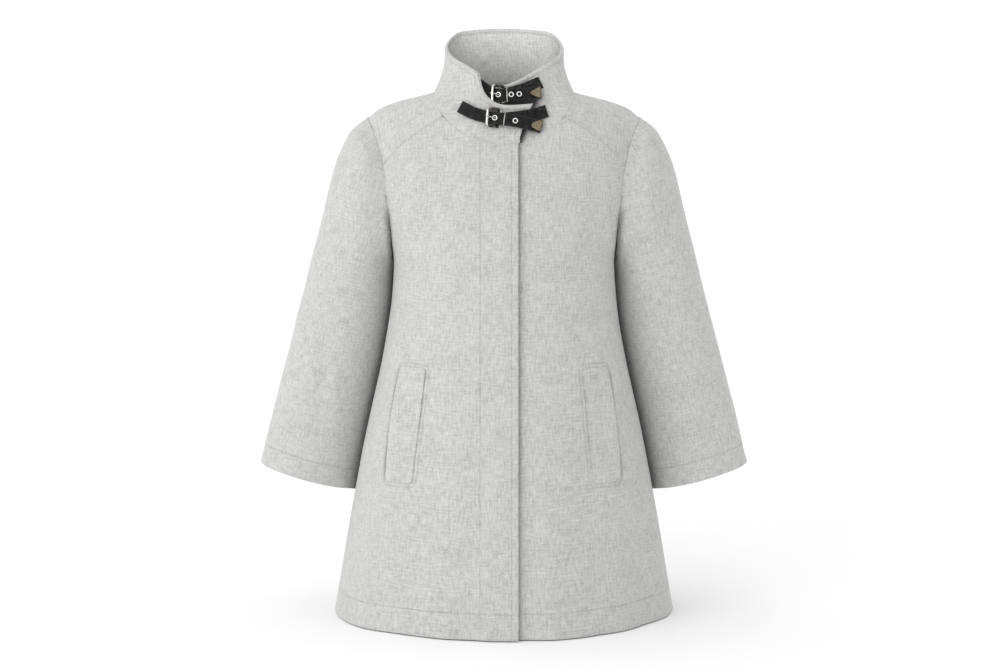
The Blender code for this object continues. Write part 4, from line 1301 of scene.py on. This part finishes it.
def frame_rub(share):
    """How rubbed a frame is at this share of its length: most on its two upright bars."""
    free = FREE_BAR_RUB * smoothstep(BAR_SHARE, BAR_FULL, share)
    hinge = HINGE_BAR_RUB * smoothstep(1.0 - BAR_SHARE, 1.0 - BAR_FULL, share)
    return max(free, hinge)


for name, piece in metal.items():
    if name in FRAMES:
        write_rub(piece, [frame_rub(share) for share in lengths[name]])
    else:
        write_rub(piece, [WIRE_RUB] * len(piece.data.vertices))
for tip in tips.values():
    depths = [mark.value for mark in tip.data.attributes["edge_distance"].data]
    write_rub(tip, [TIP_RUB * smoothstep(0.0, EDGE_PATINA, depth) for depth in depths])
print("rubbed pieces:", len(metal) + len(tips))

# %% Make the metals
def worn_metal(name, deep, bright, gloss, matt):
    """A metal between a deep and a worn colour."""
    tree, shader, material = new_finish(name, Metallic=1.0)
    place = add(tree, "TexCoord").outputs["Object"]
    patina = noise_of(tree, place, (420.0, 420.0, 420.0), detail=4.0, roughness=0.6)
    scratches = noise_of(tree, place, (300.0, 300.0, 2600.0), detail=2.0)
    rubbed = add(tree, "Attribute", attribute_name="rub").outputs["Fac"]
    worn = weighted(tree, [(patina, 0.45), (scratches, 0.20), (rubbed, 0.35)])
    tree.links.new(ramp(tree, worn, [(0.30, deep), (0.66, bright)]), shader.inputs["Base Color"])
    roughness = ramp(tree, worn, [(0.30, (matt,) * 3), (0.66, (gloss,) * 3)])
    tree.links.new(roughness, shader.inputs["Roughness"])
    tree.links.new(bump(tree, worn, 0.00008, 0.5), shader.inputs["Normal"])
    return material


gunmetal = worn_metal("worn_gunmetal", (0.020, 0.016, 0.012), (0.68, 0.66, 0.62), 0.12, 0.28)
nickel = worn_metal("bright_nickel_plate", (0.62, 0.62, 0.60), (0.92, 0.92, 0.90), 0.12, 0.24)
brass = worn_metal("dull_brass", (0.045, 0.035, 0.022), (0.40, 0.33, 0.235), 0.26, 0.46)
for name, piece in metal.items():
    piece.data.materials.append(nickel if name in EYELETS else gunmetal)
for tip in tips.values():
    tip.data.materials.append(brass)
print("metal pieces:", len(metal) + len(tips))

# %% [markdown]
# ## What each piece is
# Each piece moves with the coat's one body, and the solid that it stands for is hidden.

Cut = namedtuple("Cut", "width length area held rests_on")
BODY = "root"


def stand_for(piece, slot, *replaced):
    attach(piece, BODY)
    if replaced:
        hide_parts(*replaced)


for row in stitching.values():
    stand_for(row, "grey_wool")
for name, shell in shells.items():
    stand_for(shell, "grey_wool", name)
for name, strap in straps.items():
    stand_for(strap, "black_leather", name)
for name, piece in metal.items():
    stand_for(piece, "bright_nickel" if name in EYELETS else "gunmetal", name)
for name, tip in tips.items():
    stand_for(tip, "antique_brass", name)

# %% [markdown]
# ## Floor, light and colour
# The photograph is a cut-out on white with a soft shadow under the hem. A wide white floor and a
# white sky light the coat from all round and below. The sky is dimmer to the right of the camera and
# one large soft light stands low at the left, so that it lights the coat more than the floor, and
# the wearer's left side comes out a little darker. The Standard view keeps white at white.

# %% Light the coat
FLOOR_DROP = HEM_DROP + 0.001
SKY, SKY_DIM = 1.09, 0.76
DIM_TOWARD, DIM_START = Vector((0.82, -0.55, 0.15)).normalized(), 0.30
KEY_PLACE, KEY_SIZE, KEY_POWER = Vector((-2.0, -2.2, 0.45)), 2.4, 22.0
KEY_AIM = Vector((0.0, 0.0, -0.35))

bpy.ops.object.select_all(action="DESELECT")
bpy.ops.mesh.primitive_plane_add(size=40.0, location=(0.0, 0.0, cad_box[0][2] - FLOOR_DROP))
floor = bpy.context.object
floor.name = "floor"
bpy.ops.object.transform_apply(location=True, rotation=False, scale=False)
tree, shader, paper = new_finish("white_paper", Roughness=0.9, Specular_IOR_Level=0.1)
place = add(tree, "TexCoord").outputs["Object"]
mottle = noise_of(tree, place, (3.0, 3.0, 3.0))
tree.links.new(ramp(tree, mottle, [(0.3, (0.98, 0.98, 0.98)), (0.7, (0.99, 0.99, 0.99))]),
               shader.inputs["Base Color"])
floor.data.materials.append(paper)

world = bpy.data.worlds.new("white_sky")
world.use_nodes = True
tree = world.node_tree
background = tree.nodes["Background"]
background.inputs["Color"].default_value = (1.0, 1.0, 1.0, 1.0)
toward = add(tree, "VectorMath", {1: DIM_TOWARD}, operation="DOT_PRODUCT")
tree.links.new(add(tree, "TexCoord").outputs["Generated"], toward.inputs[0])
strength = add(tree, "MapRange", {"From Min": DIM_START, "To Min": SKY, "To Max": SKY_DIM},
               interpolation_type="SMOOTHSTEP")
tree.links.new(toward.outputs["Value"], strength.inputs["Value"])
tree.links.new(strength.outputs["Result"], background.inputs["Strength"])
bpy.context.scene.world = world

key_data = bpy.data.lights.new("key", "AREA")
key_data.shape = "DISK"
key_data.size = KEY_SIZE
key_data.energy = KEY_POWER
key = bpy.data.objects.new("key", key_data)
key.location = KEY_PLACE
key.rotation_euler = (KEY_AIM - KEY_PLACE).to_track_quat("-Z", "Y").to_euler()
bpy.context.scene.collection.objects.link(key)

bpy.context.scene.view_settings.view_transform = "Standard"
bpy.context.scene.view_settings.look = "None"
print("floor at", round(cad_box[0][2] - FLOOR_DROP, 4))
